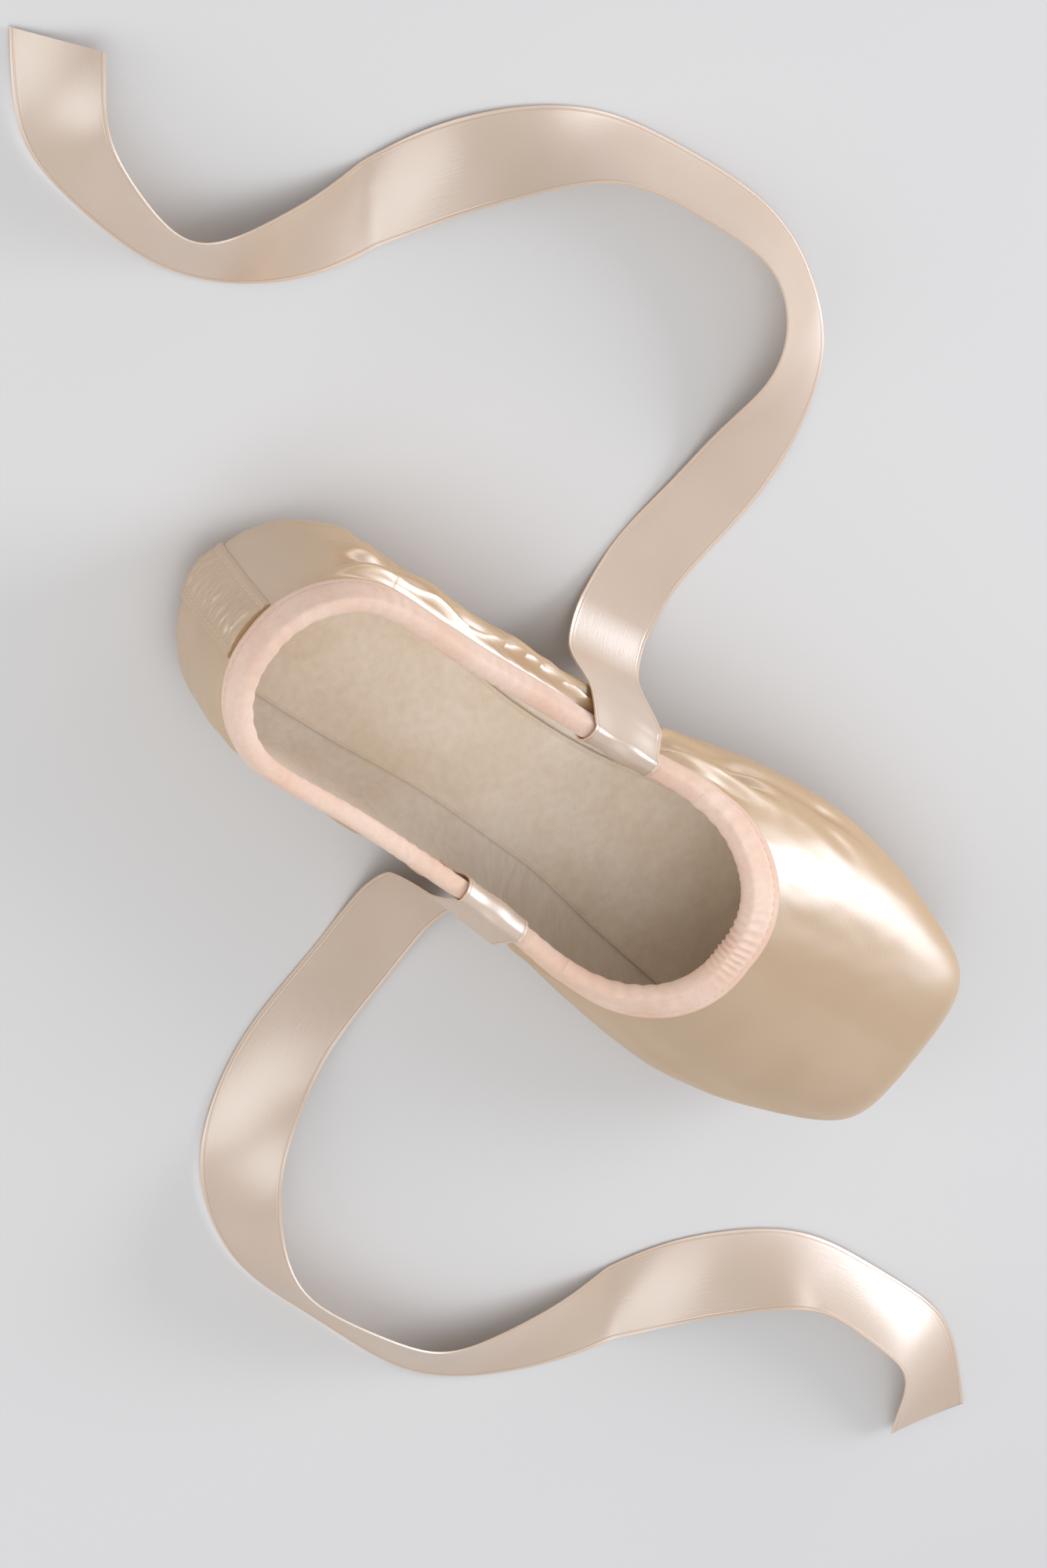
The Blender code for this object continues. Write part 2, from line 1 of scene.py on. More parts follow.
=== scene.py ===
# %% [markdown]
# # A pointe shoe in satin
# The solids of the shoe are loaded as a fixed frame. This lesson dresses them: the satin with its folds and
# pleats, the gathered tape round the collar, the leather sole, the lining and the two loose ribbons.
# Everything is in metres. The toe points to -Y, the heel to +Y, and the origin is on the floor.

import math
from collections import namedtuple
from functools import partial

import bmesh
import bpy
import numpy as np
from mathutils import Matrix, Vector


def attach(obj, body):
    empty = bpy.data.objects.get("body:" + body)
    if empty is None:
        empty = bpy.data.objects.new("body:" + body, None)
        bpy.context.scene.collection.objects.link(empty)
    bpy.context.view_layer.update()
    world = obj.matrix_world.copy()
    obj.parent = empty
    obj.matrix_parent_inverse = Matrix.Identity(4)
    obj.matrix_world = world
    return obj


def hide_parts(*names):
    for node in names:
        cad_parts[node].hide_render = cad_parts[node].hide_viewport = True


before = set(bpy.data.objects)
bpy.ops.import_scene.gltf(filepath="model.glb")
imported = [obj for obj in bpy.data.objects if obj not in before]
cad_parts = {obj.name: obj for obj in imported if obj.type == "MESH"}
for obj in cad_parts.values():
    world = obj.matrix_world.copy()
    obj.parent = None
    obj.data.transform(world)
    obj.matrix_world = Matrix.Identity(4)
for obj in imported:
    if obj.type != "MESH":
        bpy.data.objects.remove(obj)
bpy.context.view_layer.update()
print("solids:", ", ".join(sorted(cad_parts)))

# %% [markdown]
# ## The camera
# The photograph looks down on the shoe from behind its heel, on the side of the outer quarter, and the shoe
# hangs in it with the toe at the lower right. Here the shoe stands on the floor, so the camera goes to the same
# side of the shoe and rolls until the toe lies where it does in the photograph. The direction and the roll were
# found by fitting the shoe's outline. The frame is centred on the shoe with both ribbons.

# %% Aim the camera
CAMERA_AZIMUTH, CAMERA_ELEVATION, CAMERA_ROLL = 164, 59, 142
CAMERA_DISTANCE = 1.5
SENSOR = 36
# The picture's longer side takes in 392 mm at the shoe's distance
PICTURE_HEIGHT = 0.392
PICTURE_CENTRE = (-0.005, 0.001)


def picture_axes(azimuth, elevation, roll):
    """The directions from the shoe to the camera, to the picture's right and to its top."""
    a, e, r = math.radians(azimuth), math.radians(elevation), math.radians(roll)
    back = np.array([math.sin(a) * math.cos(e), -math.cos(a) * math.cos(e), math.sin(e)])
    level = np.array([math.cos(a), math.sin(a), 0])
    upright = np.cross(back, level)
    return back, math.cos(r) * level + math.sin(r) * upright, -math.sin(r) * level + math.cos(r) * upright


TO_CAMERA, TO_RIGHT, TO_TOP = picture_axes(CAMERA_AZIMUTH, CAMERA_ELEVATION, CAMERA_ROLL)
middle = PICTURE_CENTRE[0] * TO_RIGHT + PICTURE_CENTRE[1] * TO_TOP
camera_data = bpy.data.cameras.new("camera")
camera_data.sensor_width = SENSOR
camera_data.lens = SENSOR * CAMERA_DISTANCE / PICTURE_HEIGHT
camera_data.clip_start, camera_data.clip_end = 0.05, 20
camera = bpy.data.objects.new("camera", camera_data)
axes = np.stack([TO_RIGHT, TO_TOP, TO_CAMERA, middle + CAMERA_DISTANCE * TO_CAMERA], 1)
camera.matrix_world = Matrix([*axes.tolist(), [0, 0, 0, 1]])
bpy.context.scene.collection.objects.link(camera)
bpy.context.scene.camera = camera
bpy.context.scene.view_settings.view_transform = "Standard"
print("camera at", [round(v, 3) for v in camera.matrix_world.translation])

# %% [markdown]
# ## The last
# A shoe is lasted: the satin is pulled over a wooden form, and every piece takes its curves from it. Such a form
# could be sculpted, or skinned over curves, but then each piece would need a fit of its own. Here it is a formula
# with the same sections and stations as the solids, so the fine pieces lie on the plain ones.

# %% The shoe's sizes
LENGTH = 0.240
BALL_WIDTH = 0.080
WAIST_WIDTH = 0.058
HEEL_WIDTH = 0.056
PLATFORM_WIDTH = 0.048
PLATFORM_TOP = 0.033
TOE_SPRING = 0.009
ARCH_RISE = 0.006
INSTEP_HEIGHT = 0.057
VAMP_LENGTH = 0.084
HEEL_HEIGHT = 0.056
SIDE_HEIGHT = 0.044
PLEAT_LENGTH = 0.029
THROAT_RADIUS = 0.027
QUARTER_WALL = 0.0018
BOX_WALL = 0.0032
SOLE_THICKNESS = 0.0028
SOLE_EDGE = 0.0020
SOLE_BALL_WIDTH = 0.051
SOLE_WAIST_WIDTH = 0.031
SOLE_HEEL_WIDTH = 0.038
LASTING_MARGIN = 0.007
INSOLE_THICKNESS = 0.0015
INSOLE_SPREAD = 0.0005
INSOLE_TOE_GAP = 0.022
BINDING_WIDTH = 0.009
BINDING_THICKNESS = 0.0010
STRIP_WIDTH = 0.016
STRIP_THICKNESS = 0.0009
RIBBON_WIDTH = 0.022
RIBBON_THICKNESS = 0.0006
SEAT_GAP = 0.0004
PLATFORM_EDGE_POWER = 7
PLATFORM_LEAN = 0.08
STRIP_STAND = SEAT_GAP + STRIP_THICKNESS
HEEL_Y = LENGTH / 2 - STRIP_STAND
TOE_Y = -LENGTH / 2
BODY_LENGTH = HEEL_Y - TOE_Y
HEEL_CENTRE_Y = HEEL_Y - HEEL_WIDTH / 2
TOE_CENTRE_Y = TOE_Y + PLATFORM_WIDTH / 2
SOLE_FRONT_Y = TOE_Y + PLEAT_LENGTH
SOLE_FAN_Y = SOLE_FRONT_Y + 0.57 * SOLE_BALL_WIDTH
TOE_FAN_Y = TOE_Y + PLATFORM_WIDTH
THROAT_Y = TOE_Y + VAMP_LENGTH
THROAT_FAN_Y = THROAT_Y + THROAT_RADIUS
HEEL_FAN = (HEEL_Y - HEEL_CENTRE_Y) / BODY_LENGTH
SOLE_FAN = (HEEL_Y - SOLE_FAN_Y) / BODY_LENGTH
TOE_FAN = (HEEL_Y - TOE_FAN_Y) / BODY_LENGTH
THROAT_FAN = (HEEL_Y - THROAT_FAN_Y) / BODY_LENGTH
SEAT = SOLE_THICKNESS + SEAT_GAP
WIDEST = 0.36 * HEEL_HEIGHT
STRIP_FOOT = SEAT + 0.08 * HEEL_HEIGHT
RIBBON_Y = 0.0625 * LENGTH
print(f"{LENGTH * 1000:.0f} mm long, {BALL_WIDTH * 1000:.0f} mm wide, platform {PLATFORM_WIDTH * 1000:.0f} mm")

# %% Sections of the last and stations round the shoe
# Along runs from 0 at the heel to 1 at the toe: half width, crest, underside, the level of the widest line, and
# the powers that round the section above and below it
Section = namedtuple("Section", "along half_width crest underside widest dome belly")
SECTIONS = (
    Section(0.00, 0.49 * HEEL_WIDTH, 1.38 * HEEL_HEIGHT, SEAT, WIDEST, 2.4, 4.5),
    Section(0.12, 0.50 * HEEL_WIDTH, 1.36 * HEEL_HEIGHT, SEAT, WIDEST, 2.4, 4.5),
    Section(0.24, 0.49 * HEEL_WIDTH, 1.27 * HEEL_HEIGHT, SEAT, WIDEST, 2.3, 3.8),
    Section(0.44, 0.50 * WAIST_WIDTH, 1.12 * INSTEP_HEIGHT, SEAT + ARCH_RISE, 1.10 * WIDEST, 2.2, 2.6),
    Section(0.56, 0.43 * BALL_WIDTH, 1.07 * INSTEP_HEIGHT, SEAT + 0.3 * ARCH_RISE, 1.10 * WIDEST, 2.2, 2.9),
    Section(0.64, 0.475 * BALL_WIDTH, 1.02 * INSTEP_HEIGHT, SEAT, 1.07 * WIDEST, 2.2, 3.2),
    Section(0.74, 0.50 * BALL_WIDTH, 0.91 * INSTEP_HEIGHT, SEAT, 1.03 * WIDEST, 2.3, 3.2),
    Section(0.81, 0.482 * BALL_WIDTH, 0.82 * INSTEP_HEIGHT, SEAT, WIDEST, 2.4, 3.2),
    Section(0.92, 0.66 * PLATFORM_WIDTH, 1.20 * PLATFORM_TOP, 0.55 * TOE_SPRING, WIDEST, 2.7, 3.0),
    Section(1.00, 0.50 * PLATFORM_WIDTH, PLATFORM_TOP, TOE_SPRING, 1.03 * WIDEST, 3.0, 3.0),
)

# Round runs from 0 at the heel to 1 at the toe: where its ray starts below, in the middle and above, and how far
# out the sole's edge and the collar lie
HEEL_TURN = 0.16
TOE_TURN = 0.76
Station = namedtuple("Station", "round sole level collar sole_reach collar_height collar_reach")
STATIONS = (
    Station(0.00, HEEL_FAN, HEEL_FAN, HEEL_FAN, 0.58 * SOLE_HEEL_WIDTH, HEEL_HEIGHT, 0.42 * HEEL_WIDTH),
    Station(0.08, HEEL_FAN, HEEL_FAN, HEEL_FAN, 0.54 * SOLE_HEEL_WIDTH, 0.98 * HEEL_HEIGHT, 0.43 * HEEL_WIDTH),
    Station(0.16, HEEL_FAN, HEEL_FAN, HEEL_FAN, 0.50 * SOLE_HEEL_WIDTH, 0.94 * HEEL_HEIGHT, 0.44 * HEEL_WIDTH),
    Station(0.28, 0.24, 0.24, 0.23, 0.48 * SOLE_HEEL_WIDTH, 1.10 * SIDE_HEIGHT, 0.45 * HEEL_WIDTH),
    Station(0.40, 0.38, 0.38, 0.33, 0.50 * SOLE_WAIST_WIDTH, 1.02 * SIDE_HEIGHT, 0.45 * WAIST_WIDTH),
    Station(0.50, 0.49, 0.50, 0.39, 0.53 * SOLE_WAIST_WIDTH, SIDE_HEIGHT, 0.46 * WAIST_WIDTH),
    Station(0.64, 0.63, 0.66, 0.465, 0.42 * SOLE_BALL_WIDTH, 1.02 * SIDE_HEIGHT, 0.50 * WAIST_WIDTH),
    Station(0.76, SOLE_FAN, TOE_FAN, THROAT_FAN, 0.50 * SOLE_BALL_WIDTH, 0.84 * INSTEP_HEIGHT, 1.05 * THROAT_RADIUS),
    Station(0.88, SOLE_FAN, TOE_FAN, THROAT_FAN, 0.51 * SOLE_BALL_WIDTH, 0.94 * INSTEP_HEIGHT, THROAT_RADIUS),
    Station(1.00, SOLE_FAN, TOE_FAN, THROAT_FAN, SOLE_FAN_Y - SOLE_FRONT_Y, INSTEP_HEIGHT, THROAT_RADIUS),
)
TRACE_POINTS = 121
BEND_WEIGHT = 0.008
WAIST_SHARE = 0.42
FARTHEST = 0.2
HALVINGS = 32
NUDGE = 1e-5
print(len(SECTIONS), "sections along the last,", len(STATIONS), "stations round each side")


# %% Curves through the tables
def smooth_rise(x, low, high):
    """0 below low and 1 above high, with a soft S between them."""
    t = np.clip((x - low) / (high - low), 0, 1)
    return t * t * (3 - 2 * t)


def through(x, knots, values):
    """A smooth curve through the table's values that never overshoots them: a monotone cubic."""
    knots, values = np.asarray(knots, float), np.asarray(values, float)
    step = np.diff(knots)
    slope = np.diff(values) / step
    product = slope[:-1] * slope[1:]
    total = np.where(product > 0, slope[:-1] + slope[1:], 1)
    inner = np.where(product > 0, 2 * product / total, 0)
    tangent = np.concatenate([slope[:1], inner, slope[-1:]])
    i = np.clip(np.searchsorted(knots, x) - 1, 0, len(step) - 1)
    t = (x - knots[i]) / step[i]
    return (
        values[i] * (1 + 2 * t) * (1 - t) ** 2
        + tangent[i] * step[i] * t * (1 - t) ** 2
        + values[i + 1] * t**2 * (3 - 2 * t)
        + tangent[i + 1] * step[i] * t**2 * (t - 1)
    )


def from_table(table, x, column):
    """One column of a table of rows, read at x in the table's first column."""
    return through(x, [row[0] for row in table], [getattr(row, column) for row in table])


widths = from_table(SECTIONS, np.array([0.0, 0.44, 0.74, 1.0]), "half_width")
print("half widths at heel, waist, ball and platform in mm:", np.round(widths * 1000, 1))


# %% The last's surface
def body_size(points):
    """How far out a point lies in the last: 1 on its surface, less inside.

    Across and height join as a superellipse; the heel rounds it behind and the platform closes it in front.
    """
    x, y, z = points[..., 0], points[..., 1], points[..., 2]
    along = np.clip((HEEL_Y - y) / BODY_LENGTH, 0, 1)
    half_width, crest, underside, widest, dome, belly = (
        from_table(SECTIONS, along, column) for column in Section._fields[1:]
    )
    back = np.clip((y - HEEL_CENTRE_Y) / (HEEL_Y - HEEL_CENTRE_Y), 0, None)
    platform_y = TOE_Y + PLATFORM_LEAN * np.clip(z - TOE_SPRING, 0, None)
    forward = np.clip((TOE_CENTRE_Y - y) / (TOE_CENTRE_Y - platform_y), 0, None)
    above = z > widest
    power = np.where(above, dome, belly)
    height = np.where(above, crest - widest, widest - underside)
    across = np.hypot(x / half_width, back)
    section = (across**power + np.abs((z - widest) / height) ** power) ** (1 / power)
    return (section**PLATFORM_EDGE_POWER + forward**PLATFORM_EDGE_POWER) ** (1 / PLATFORM_EDGE_POWER)


def cast(origin, direction):
    """Where rays from inside the last leave it, found by halving."""
    near = np.zeros(origin.shape[:-1])
    far = np.full(origin.shape[:-1], FARTHEST)
    for _ in range(HALVINGS):
        middle = (near + far) / 2
        inside = body_size(origin + middle[..., None] * direction) < 1
        near, far = np.where(inside, middle, near), np.where(inside, far, middle)
    return origin + far[..., None] * direction


heel_back = np.array([0.0, HEEL_Y, WIDEST])
print("the last's size at the back of its heel:", body_size(heel_back).round(3))


# %% Directions and thickness on the last
def outward(points):
    """The last's outward direction at points on it, from the slope of body_size."""
    slopes = [body_size(points + axis) - body_size(points - axis) for axis in np.eye(3) * NUDGE]
    slope = np.stack(slopes, -1)
    return slope / np.linalg.norm(slope, axis=-1, keepdims=True)


def wall_at(points):
    """The upper's thickness: thin quarters, and a stiffened box from a little behind the throat."""
    boxed = smooth_rise(-points[..., 1], -(THROAT_Y + THROAT_RADIUS), -(THROAT_Y - THROAT_RADIUS))
    return QUARTER_WALL + (BOX_WALL - QUARTER_WALL) * boxed


print("the box is", BOX_WALL * 1000, "mm thick and the quarters", QUARTER_WALL * 1000)


# %% Ribs round the shoe
def rounds(heel, side, toe):
    """The stations round the shoe, heel to toe to heel, with a count for each heel turn, side and toe turn."""
    half = np.concatenate(
        [
            np.linspace(0, HEEL_TURN, heel, endpoint=False),
            np.linspace(HEEL_TURN, TOE_TURN, side, endpoint=False),
            np.linspace(TOE_TURN, 1, toe + 1),
        ]
    )
    return np.concatenate([-half, half[-2:0:-1]])


def headings(around):
    """The level direction of each station's rib: back at the heel, sideways along the shoe, forward at the toe."""
    side, share = np.where(around < 0, -1, 1), np.abs(around)
    heel = 1 - np.clip(share / HEEL_TURN, 0, 1)
    toe = np.clip((share - TOE_TURN) / (1 - TOE_TURN), 0, 1)
    turn = (heel - toe) * math.pi / 2
    return np.stack([side * np.cos(turn), np.sin(turn), np.zeros_like(turn)], -1)


def widest_line(y):
    """The height at which the last is widest, along the shoe."""
    return from_table(SECTIONS, np.clip((HEEL_Y - y) / BODY_LENGTH, 0, 1), "widest")


def spine(around, column):
    """Where each station's rays start: on the widest line's level, above the middle of the shoe."""
    y = HEEL_Y - BODY_LENGTH * from_table(STATIONS, np.abs(around), column)
    return np.stack([np.zeros_like(y), y, widest_line(y)], -1)


def underside_at(spot):
    """The point of the last straight under a spot in plan."""
    start = np.stack([spot[..., 0], spot[..., 1], widest_line(spot[..., 1])], -1)
    return cast(start, np.broadcast_to([0.0, 0.0, -1.0], start.shape))


def traced_ribs(around):
    """Each station's rib as a fine line on the last, from the sole's opening to the collar."""
    ahead = headings(around)
    share = np.abs(around)
    low, level, high = (spine(around, column) for column in ("sole", "level", "collar"))
    opening = from_table(STATIONS, share, "sole_reach") - LASTING_MARGIN
    edge = underside_at(low + opening[:, None] * ahead)
    first = -np.arctan2(low[:, 2] - edge[:, 2], opening)
    last = np.arctan2(
        from_table(STATIONS, share, "collar_height") - high[:, 2], from_table(STATIONS, share, "collar_reach")
    )
    v = np.linspace(0, 1, TRACE_POINTS)[:, None]
    below = np.clip(1 - v / WAIST_SHARE, 0, 1)
    above = np.clip((v - WAIST_SHARE) / (1 - WAIST_SHARE), 0, 1)
    lift = (first * below + last * above)[..., None]
    down, up = smooth_rise(below, 0, 1)[..., None], smooth_rise(above, 0, 1)[..., None]
    start = level + (low - level) * down + (high - level) * up
    ray = ahead * np.cos(lift) + np.array([0.0, 0.0, 1.0]) * np.sin(lift)
    return cast(start, ray).transpose(1, 0, 2)


print(len(rounds(36, 210, 104)), "ribs round the shoe carry the satin")


# %% Distances along lines
def lengths(lines, bend_weight=0.0):
    """How far along each line its points are, with a little added wherever the line bends."""
    step = np.diff(lines, axis=1)
    size = np.linalg.norm(step, axis=-1)
    unit = step / size[..., None]
    bend = np.arccos(np.clip((unit[:, 1:] * unit[:, :-1]).sum(-1), -1, 1))
    size[:, 1:] += bend_weight * bend
    return np.concatenate([np.zeros((len(lines), 1)), np.cumsum(size, axis=1)], axis=1)


def read_along(wanted, far, line):
    """One line's points, or its directions, at the wanted distances along it."""
    return np.stack([np.interp(wanted, far, column) for column in line.T], -1)


def read_lines(lines, distance, wanted):
    """Points of each line at the wanted distances along it."""
    return np.array([read_along(want, far, line) for line, far, want in zip(lines, distance, wanted)])


def run_along(line, closed=False):
    """How far along one line its points are, and back to the first point where it is closed."""
    steps = np.diff(line, axis=0, append=line[:1]) if closed else np.diff(line, axis=0)
    return np.concatenate([[0], np.cumsum(np.linalg.norm(steps, axis=1))])


side_rib = traced_ribs(np.array([0.5]))
print("the rib at the side is", (lengths(side_rib)[0, -1] * 1000).round(1), "mm long")


# %% [markdown]
# ## Surfaces from arrays
# Every piece here is a sheet or a flat tube. Blender could make them with curves and modifiers. They are grids of
# points worked out with numpy instead, because then the cloth's own coordinates, in metres along and across its
# threads, come from the same numbers as its shape.

# %% Faces for grids of points
def unit(vectors):
    """Directions of length 1."""
    return vectors / np.linalg.norm(vectors, axis=-1, keepdims=True)


def grid_faces(rows, columns, close_rows=False, close_columns=False):
    """Four-sided faces between neighbouring points of a grid, as indices, joined round where it closes."""
    i, j = np.meshgrid(
        np.arange(rows if close_rows else rows - 1),
        np.arange(columns if close_columns else columns - 1),
        indexing="ij",
    )
    k, m = (i + 1) % rows, (j + 1) % columns
    corners = [i * columns + j, k * columns + j, k * columns + m, i * columns + m]
    return np.stack(corners, -1).reshape(-1, 4)


def end_faces(columns, rows):
    """The faces that close both ends of a flat tube, whose rows run over the columns and back."""
    k, count = np.arange(columns - 1), 2 * columns
    first = np.stack([k, k + 1, count - 2 - k, count - 1 - k], -1)
    return np.concatenate([first, first[:, ::-1] + (rows - 1) * count])


def grid_uv(u, v):
    """Each face corner's place on the flat cloth, from grids one longer than the points wherever the grid closes."""
    rows, columns = u.shape
    i, j = np.meshgrid(np.arange(rows - 1), np.arange(columns - 1), indexing="ij")
    corners = [(i, j), (i + 1, j), (i + 1, j + 1), (i, j + 1)]
    return np.stack([np.stack([u[a, b], v[a, b]], -1) for a, b in corners], 2).reshape(-1, 2)


print("a grid of 3 by 3 points:", len(grid_faces(3, 3)), "faces, closed both ways", len(grid_faces(3, 3, True, True)))


# %% From arrays to a finished mesh
def new_piece(name, points, faces, materials, uv=None, slots=None, sharp=50):
    """A mesh object from arrays: points, four-sided faces, and each face corner's place on the cloth in metres."""
    points, faces = points.reshape(-1, 3), faces.reshape(-1, 4)
    mesh = bpy.data.meshes.new(name)
    mesh.vertices.add(len(points))
    mesh.vertices.foreach_set("co", points.astype(np.float32).ravel())
    mesh.loops.add(faces.size)
    mesh.loops.foreach_set("vertex_index", faces.astype(np.int32).ravel())
    mesh.polygons.add(len(faces))
    mesh.polygons.foreach_set("loop_start", np.arange(0, faces.size, 4, dtype=np.int32))
    for material in materials:
        mesh.materials.append(material)
    if slots is not None:
        mesh.polygons.foreach_set("material_index", slots.astype(np.int32))
    if uv is not None:
        mesh.uv_layers.new(name="cloth").data.foreach_set("uv", uv.astype(np.float32).ravel())
    mesh.update(calc_edges=True)
    mesh.validate()
    mesh.shade_smooth()
    mesh.set_sharp_from_angle(angle=math.radians(sharp))
    made = bpy.data.objects.new(name, mesh)
    bpy.context.scene.collection.objects.link(made)
    return made


def close_up(piece, merge=1e-6, sharp=50):
    """Merges the points that fall together and turns every face outwards."""
    bm = bmesh.new()
    bm.from_mesh(piece.data)
    bmesh.ops.remove_doubles(bm, verts=bm.verts, dist=merge)
    bmesh.ops.dissolve_degenerate(bm, edges=bm.edges, dist=1e-8)
    bmesh.ops.recalc_face_normals(bm, faces=bm.faces)
    bm.to_mesh(piece.data)
    bm.free()
    piece.data.shade_smooth()
    piece.data.set_sharp_from_angle(angle=math.radians(sharp))
    print(f"{piece.name}: {sum(len(p.vertices) - 2 for p in piece.data.polygons)} triangles")
    return piece


def mark(piece, name, values):
    """Stores a number at each point, which a material reads by its name."""
    data = piece.data.attributes.new(name, "FLOAT", "POINT").data
    data.foreach_set("value", values.astype(np.float32).ravel())


def waves(points, spans, seed):
    """Soft unevenness between -1 and 1: a few sines across the points, in directions fixed by seed."""
    rng = np.random.default_rng(seed)
    total = np.zeros(points.shape[:-1])
    for span in spans:
        direction = unit(rng.normal(size=3))
        bend = unit(rng.normal(size=3))
        phase = points @ direction * (2 * math.pi / span)
        total += np.sin(phase + 1.7 * np.sin(points @ bend * (2 * math.pi / (1.9 * span)) + rng.uniform(0, 6)))
    return total / len(spans)


print("unevenness at the origin:", waves(np.zeros((1, 3)), (0.019, 0.013), 3).round(3)[0])

# %% [markdown]
# ## Finishes
# Photographs of cloth could cover these pieces, but they blur close up and carry their own light. Nodes don't.
# They read the piece's own flat coordinates, in metres, so a weave keeps its scale. Threads of 0.1 to 0.2 mm would
# vanish in the picture, so they are drawn about three times coarser. One function adds any node.


# %% One function for every node
# Settings that many nodes share: a range with a soft S between its ends, and a mix of two colours
SOFT = {"interpolation_type": "SMOOTHSTEP"}
COLOUR = {"data_type": "RGBA", "out": 2}


def linear(code):
    """A colour written as in a paint program, turned into linear light."""
    values = np.array([int(code[i : i + 2], 16) for i in (1, 3, 5)]) / 255
    return (*np.where(values <= 0.04045, values / 12.92, ((values + 0.055) / 1.055) ** 2.4), 1)


def add(material, kind, inputs=(), out=0, **settings):
    """Adds one node with its settings, feeds its inputs, and returns one of its outputs, or a slice of them.

    Inputs are constants or other nodes' outputs, in the node's own order or named in a dictionary.
    """
    made = material.node_tree.nodes.new("ShaderNode" + kind)
    for name, value in settings.items():
        setattr(made, name, value)
    for place, value in inputs.items() if isinstance(inputs, dict) else enumerate(inputs):
        if isinstance(value, bpy.types.NodeSocket):
            material.node_tree.links.new(value, made.inputs[place])
        else:
            made.inputs[place].default_value = value
    return made.outputs[out]


def new_material(name, **constants):
    """A named material and its shader, with the shader's constants set."""
    material = bpy.data.materials.new(name)
    material.use_nodes = True
    shader = material.node_tree.nodes["Principled BSDF"]
    for key, value in constants.items():
        shader.inputs[key.replace("_", " ")].default_value = value
    return material, shader


def join(material, shader, **sockets):
    """Links finished colours, bumps and directions to the shader."""
    for key, value in sockets.items():
        material.node_tree.links.new(value, shader.inputs[key.replace("_", " ")])


def on_cloth(node, across, along):
    """The cloth's own coordinates, counted in threads of the given sizes in metres."""
    return node("Mapping", {"Vector": node("UVMap", uv_map="cloth"), "Scale": (1 / across, 1 / along, 1)})


print("a colour turned to linear light:", np.round(linear("#C7A67F")[:3], 3))


# %% [markdown]
# ## Peach satin
# In satin long threads lie side by side on the face, and each shines like a thin rod, which makes one broad gleam.
# A plain gloss would give a small hard highlight, and a metal would lose the peach in the shade. So it stays a
# plain dielectric whose gleam is drawn out across the threads. One thread of polyester has an IOR of about 1.6;
# the layers of them shine more, so it is raised until the gleam is as white as in the photograph. Where the cloth
# turns down or folds in, a golden shade is painted into its colour, and attributes of the upper say where, so
# that it stays put in any view.


# %% Weave the satin
def make_satin(name, light, deep, selvedge=False):
    """Satin: long floating threads give a broad white gleam, and a golden shade is painted where the cloth turns down
    or folds in.
    """
    satin, shader = new_material(
        name, Roughness=0.37, Metallic=0.0, IOR=3.1, Anisotropic=0.6, Sheen_Weight=0.15, Sheen_Roughness=0.35
    )
    node = partial(add, satin)
    # Warp floats run along the shoe: streaks 0.4 mm wide and 5 mm long, three times coarser than the real threads
    streak = node("TexNoise", {"Vector": on_cloth(node, 0.005, 0.0004), "Scale": 1, "Detail": 1}, "Fac")
    bump = node("Bump", {"Height": streak, "Distance": 0.00005, "Strength": 0.45})
    # Slow change of colour over a few centimetres, as hand-pulled satin has
    slow = node("TexNoise", {"Vector": node("TexCoord", out="Object"), "Scale": 30}, "Fac")
    cloth = node("Mix", {0: node("MapRange", (slow, 0.3, 0.7), **SOFT), 6: linear(light), 7: linear(deep)}, **COLOUR)
    # Painted golden shade where the cloth turns sideways and in the troughs of its creases
    for attribute, most, painted_gold_shade in (("turned", 0.55, "#C6984C"), ("hollow", 0.45, "#AF7C48")):
        amount = node("MapRange", (node("Attribute", (), "Fac", attribute_name=attribute), 0, 1, 0, most), **SOFT)
        cloth = node("Mix", {0: amount, 6: cloth, 7: linear(painted_gold_shade)}, **COLOUR)
    if selvedge:
        # The woven edge is a firm band 0.8 mm wide, a touch paler, with a fine groove beside it that is darkened with
        # painted shade
        across = node("SeparateXYZ", [on_cloth(node, 1, RIBBON_WIDTH / 2)], 1)
        from_middle = node("Math", [across], operation="ABSOLUTE")
        band = node("MapRange", (from_middle, 0.92, 0.94, 0, 0.5), **SOFT)
        near, past = (node("MapRange", (from_middle, *ends), **SOFT) for ends in ((0.895, 0.92), (0.93, 0.955)))
        groove = node("Math", (near, past), operation="SUBTRACT")
        # Painted shade in the groove
        shade = node("MapRange", (groove, 0, 1, 0, 0.5), **SOFT)
        cloth = node("Mix", {0: band, 6: cloth, 7: linear("#E9C9AA")}, **COLOUR)
        cloth = node("Mix", {0: shade, 6: cloth, 7: linear("#B98F68")}, **COLOUR)
        bump = node("Bump", {"Height": groove, "Distance": 0.0001, "Strength": 0.6, "Normal": bump}, invert=True)
    tangent = node("Tangent", direction_type="UV_MAP", uv_map="cloth")
    join(satin, shader, Base_Color=cloth, Normal=bump, Tangent=tangent)
    return satin


peach_satin = make_satin("peach satin", "#C7A67F", "#BF9C70")
ribbon_satin = make_satin("peach ribbon satin", "#D3BAA2", "#CBB097", selvedge=True)
print("satin:", peach_satin.name, "and", ribbon_satin.name)


# %% [markdown]
# ## Cotton and thread
# The tape, the lining and the sock are plain-woven cotton, matt and a little uneven. Wave textures could draw the
# threads, but sine times sine gives the over and under itself, at a spacing that is set in millimetres.


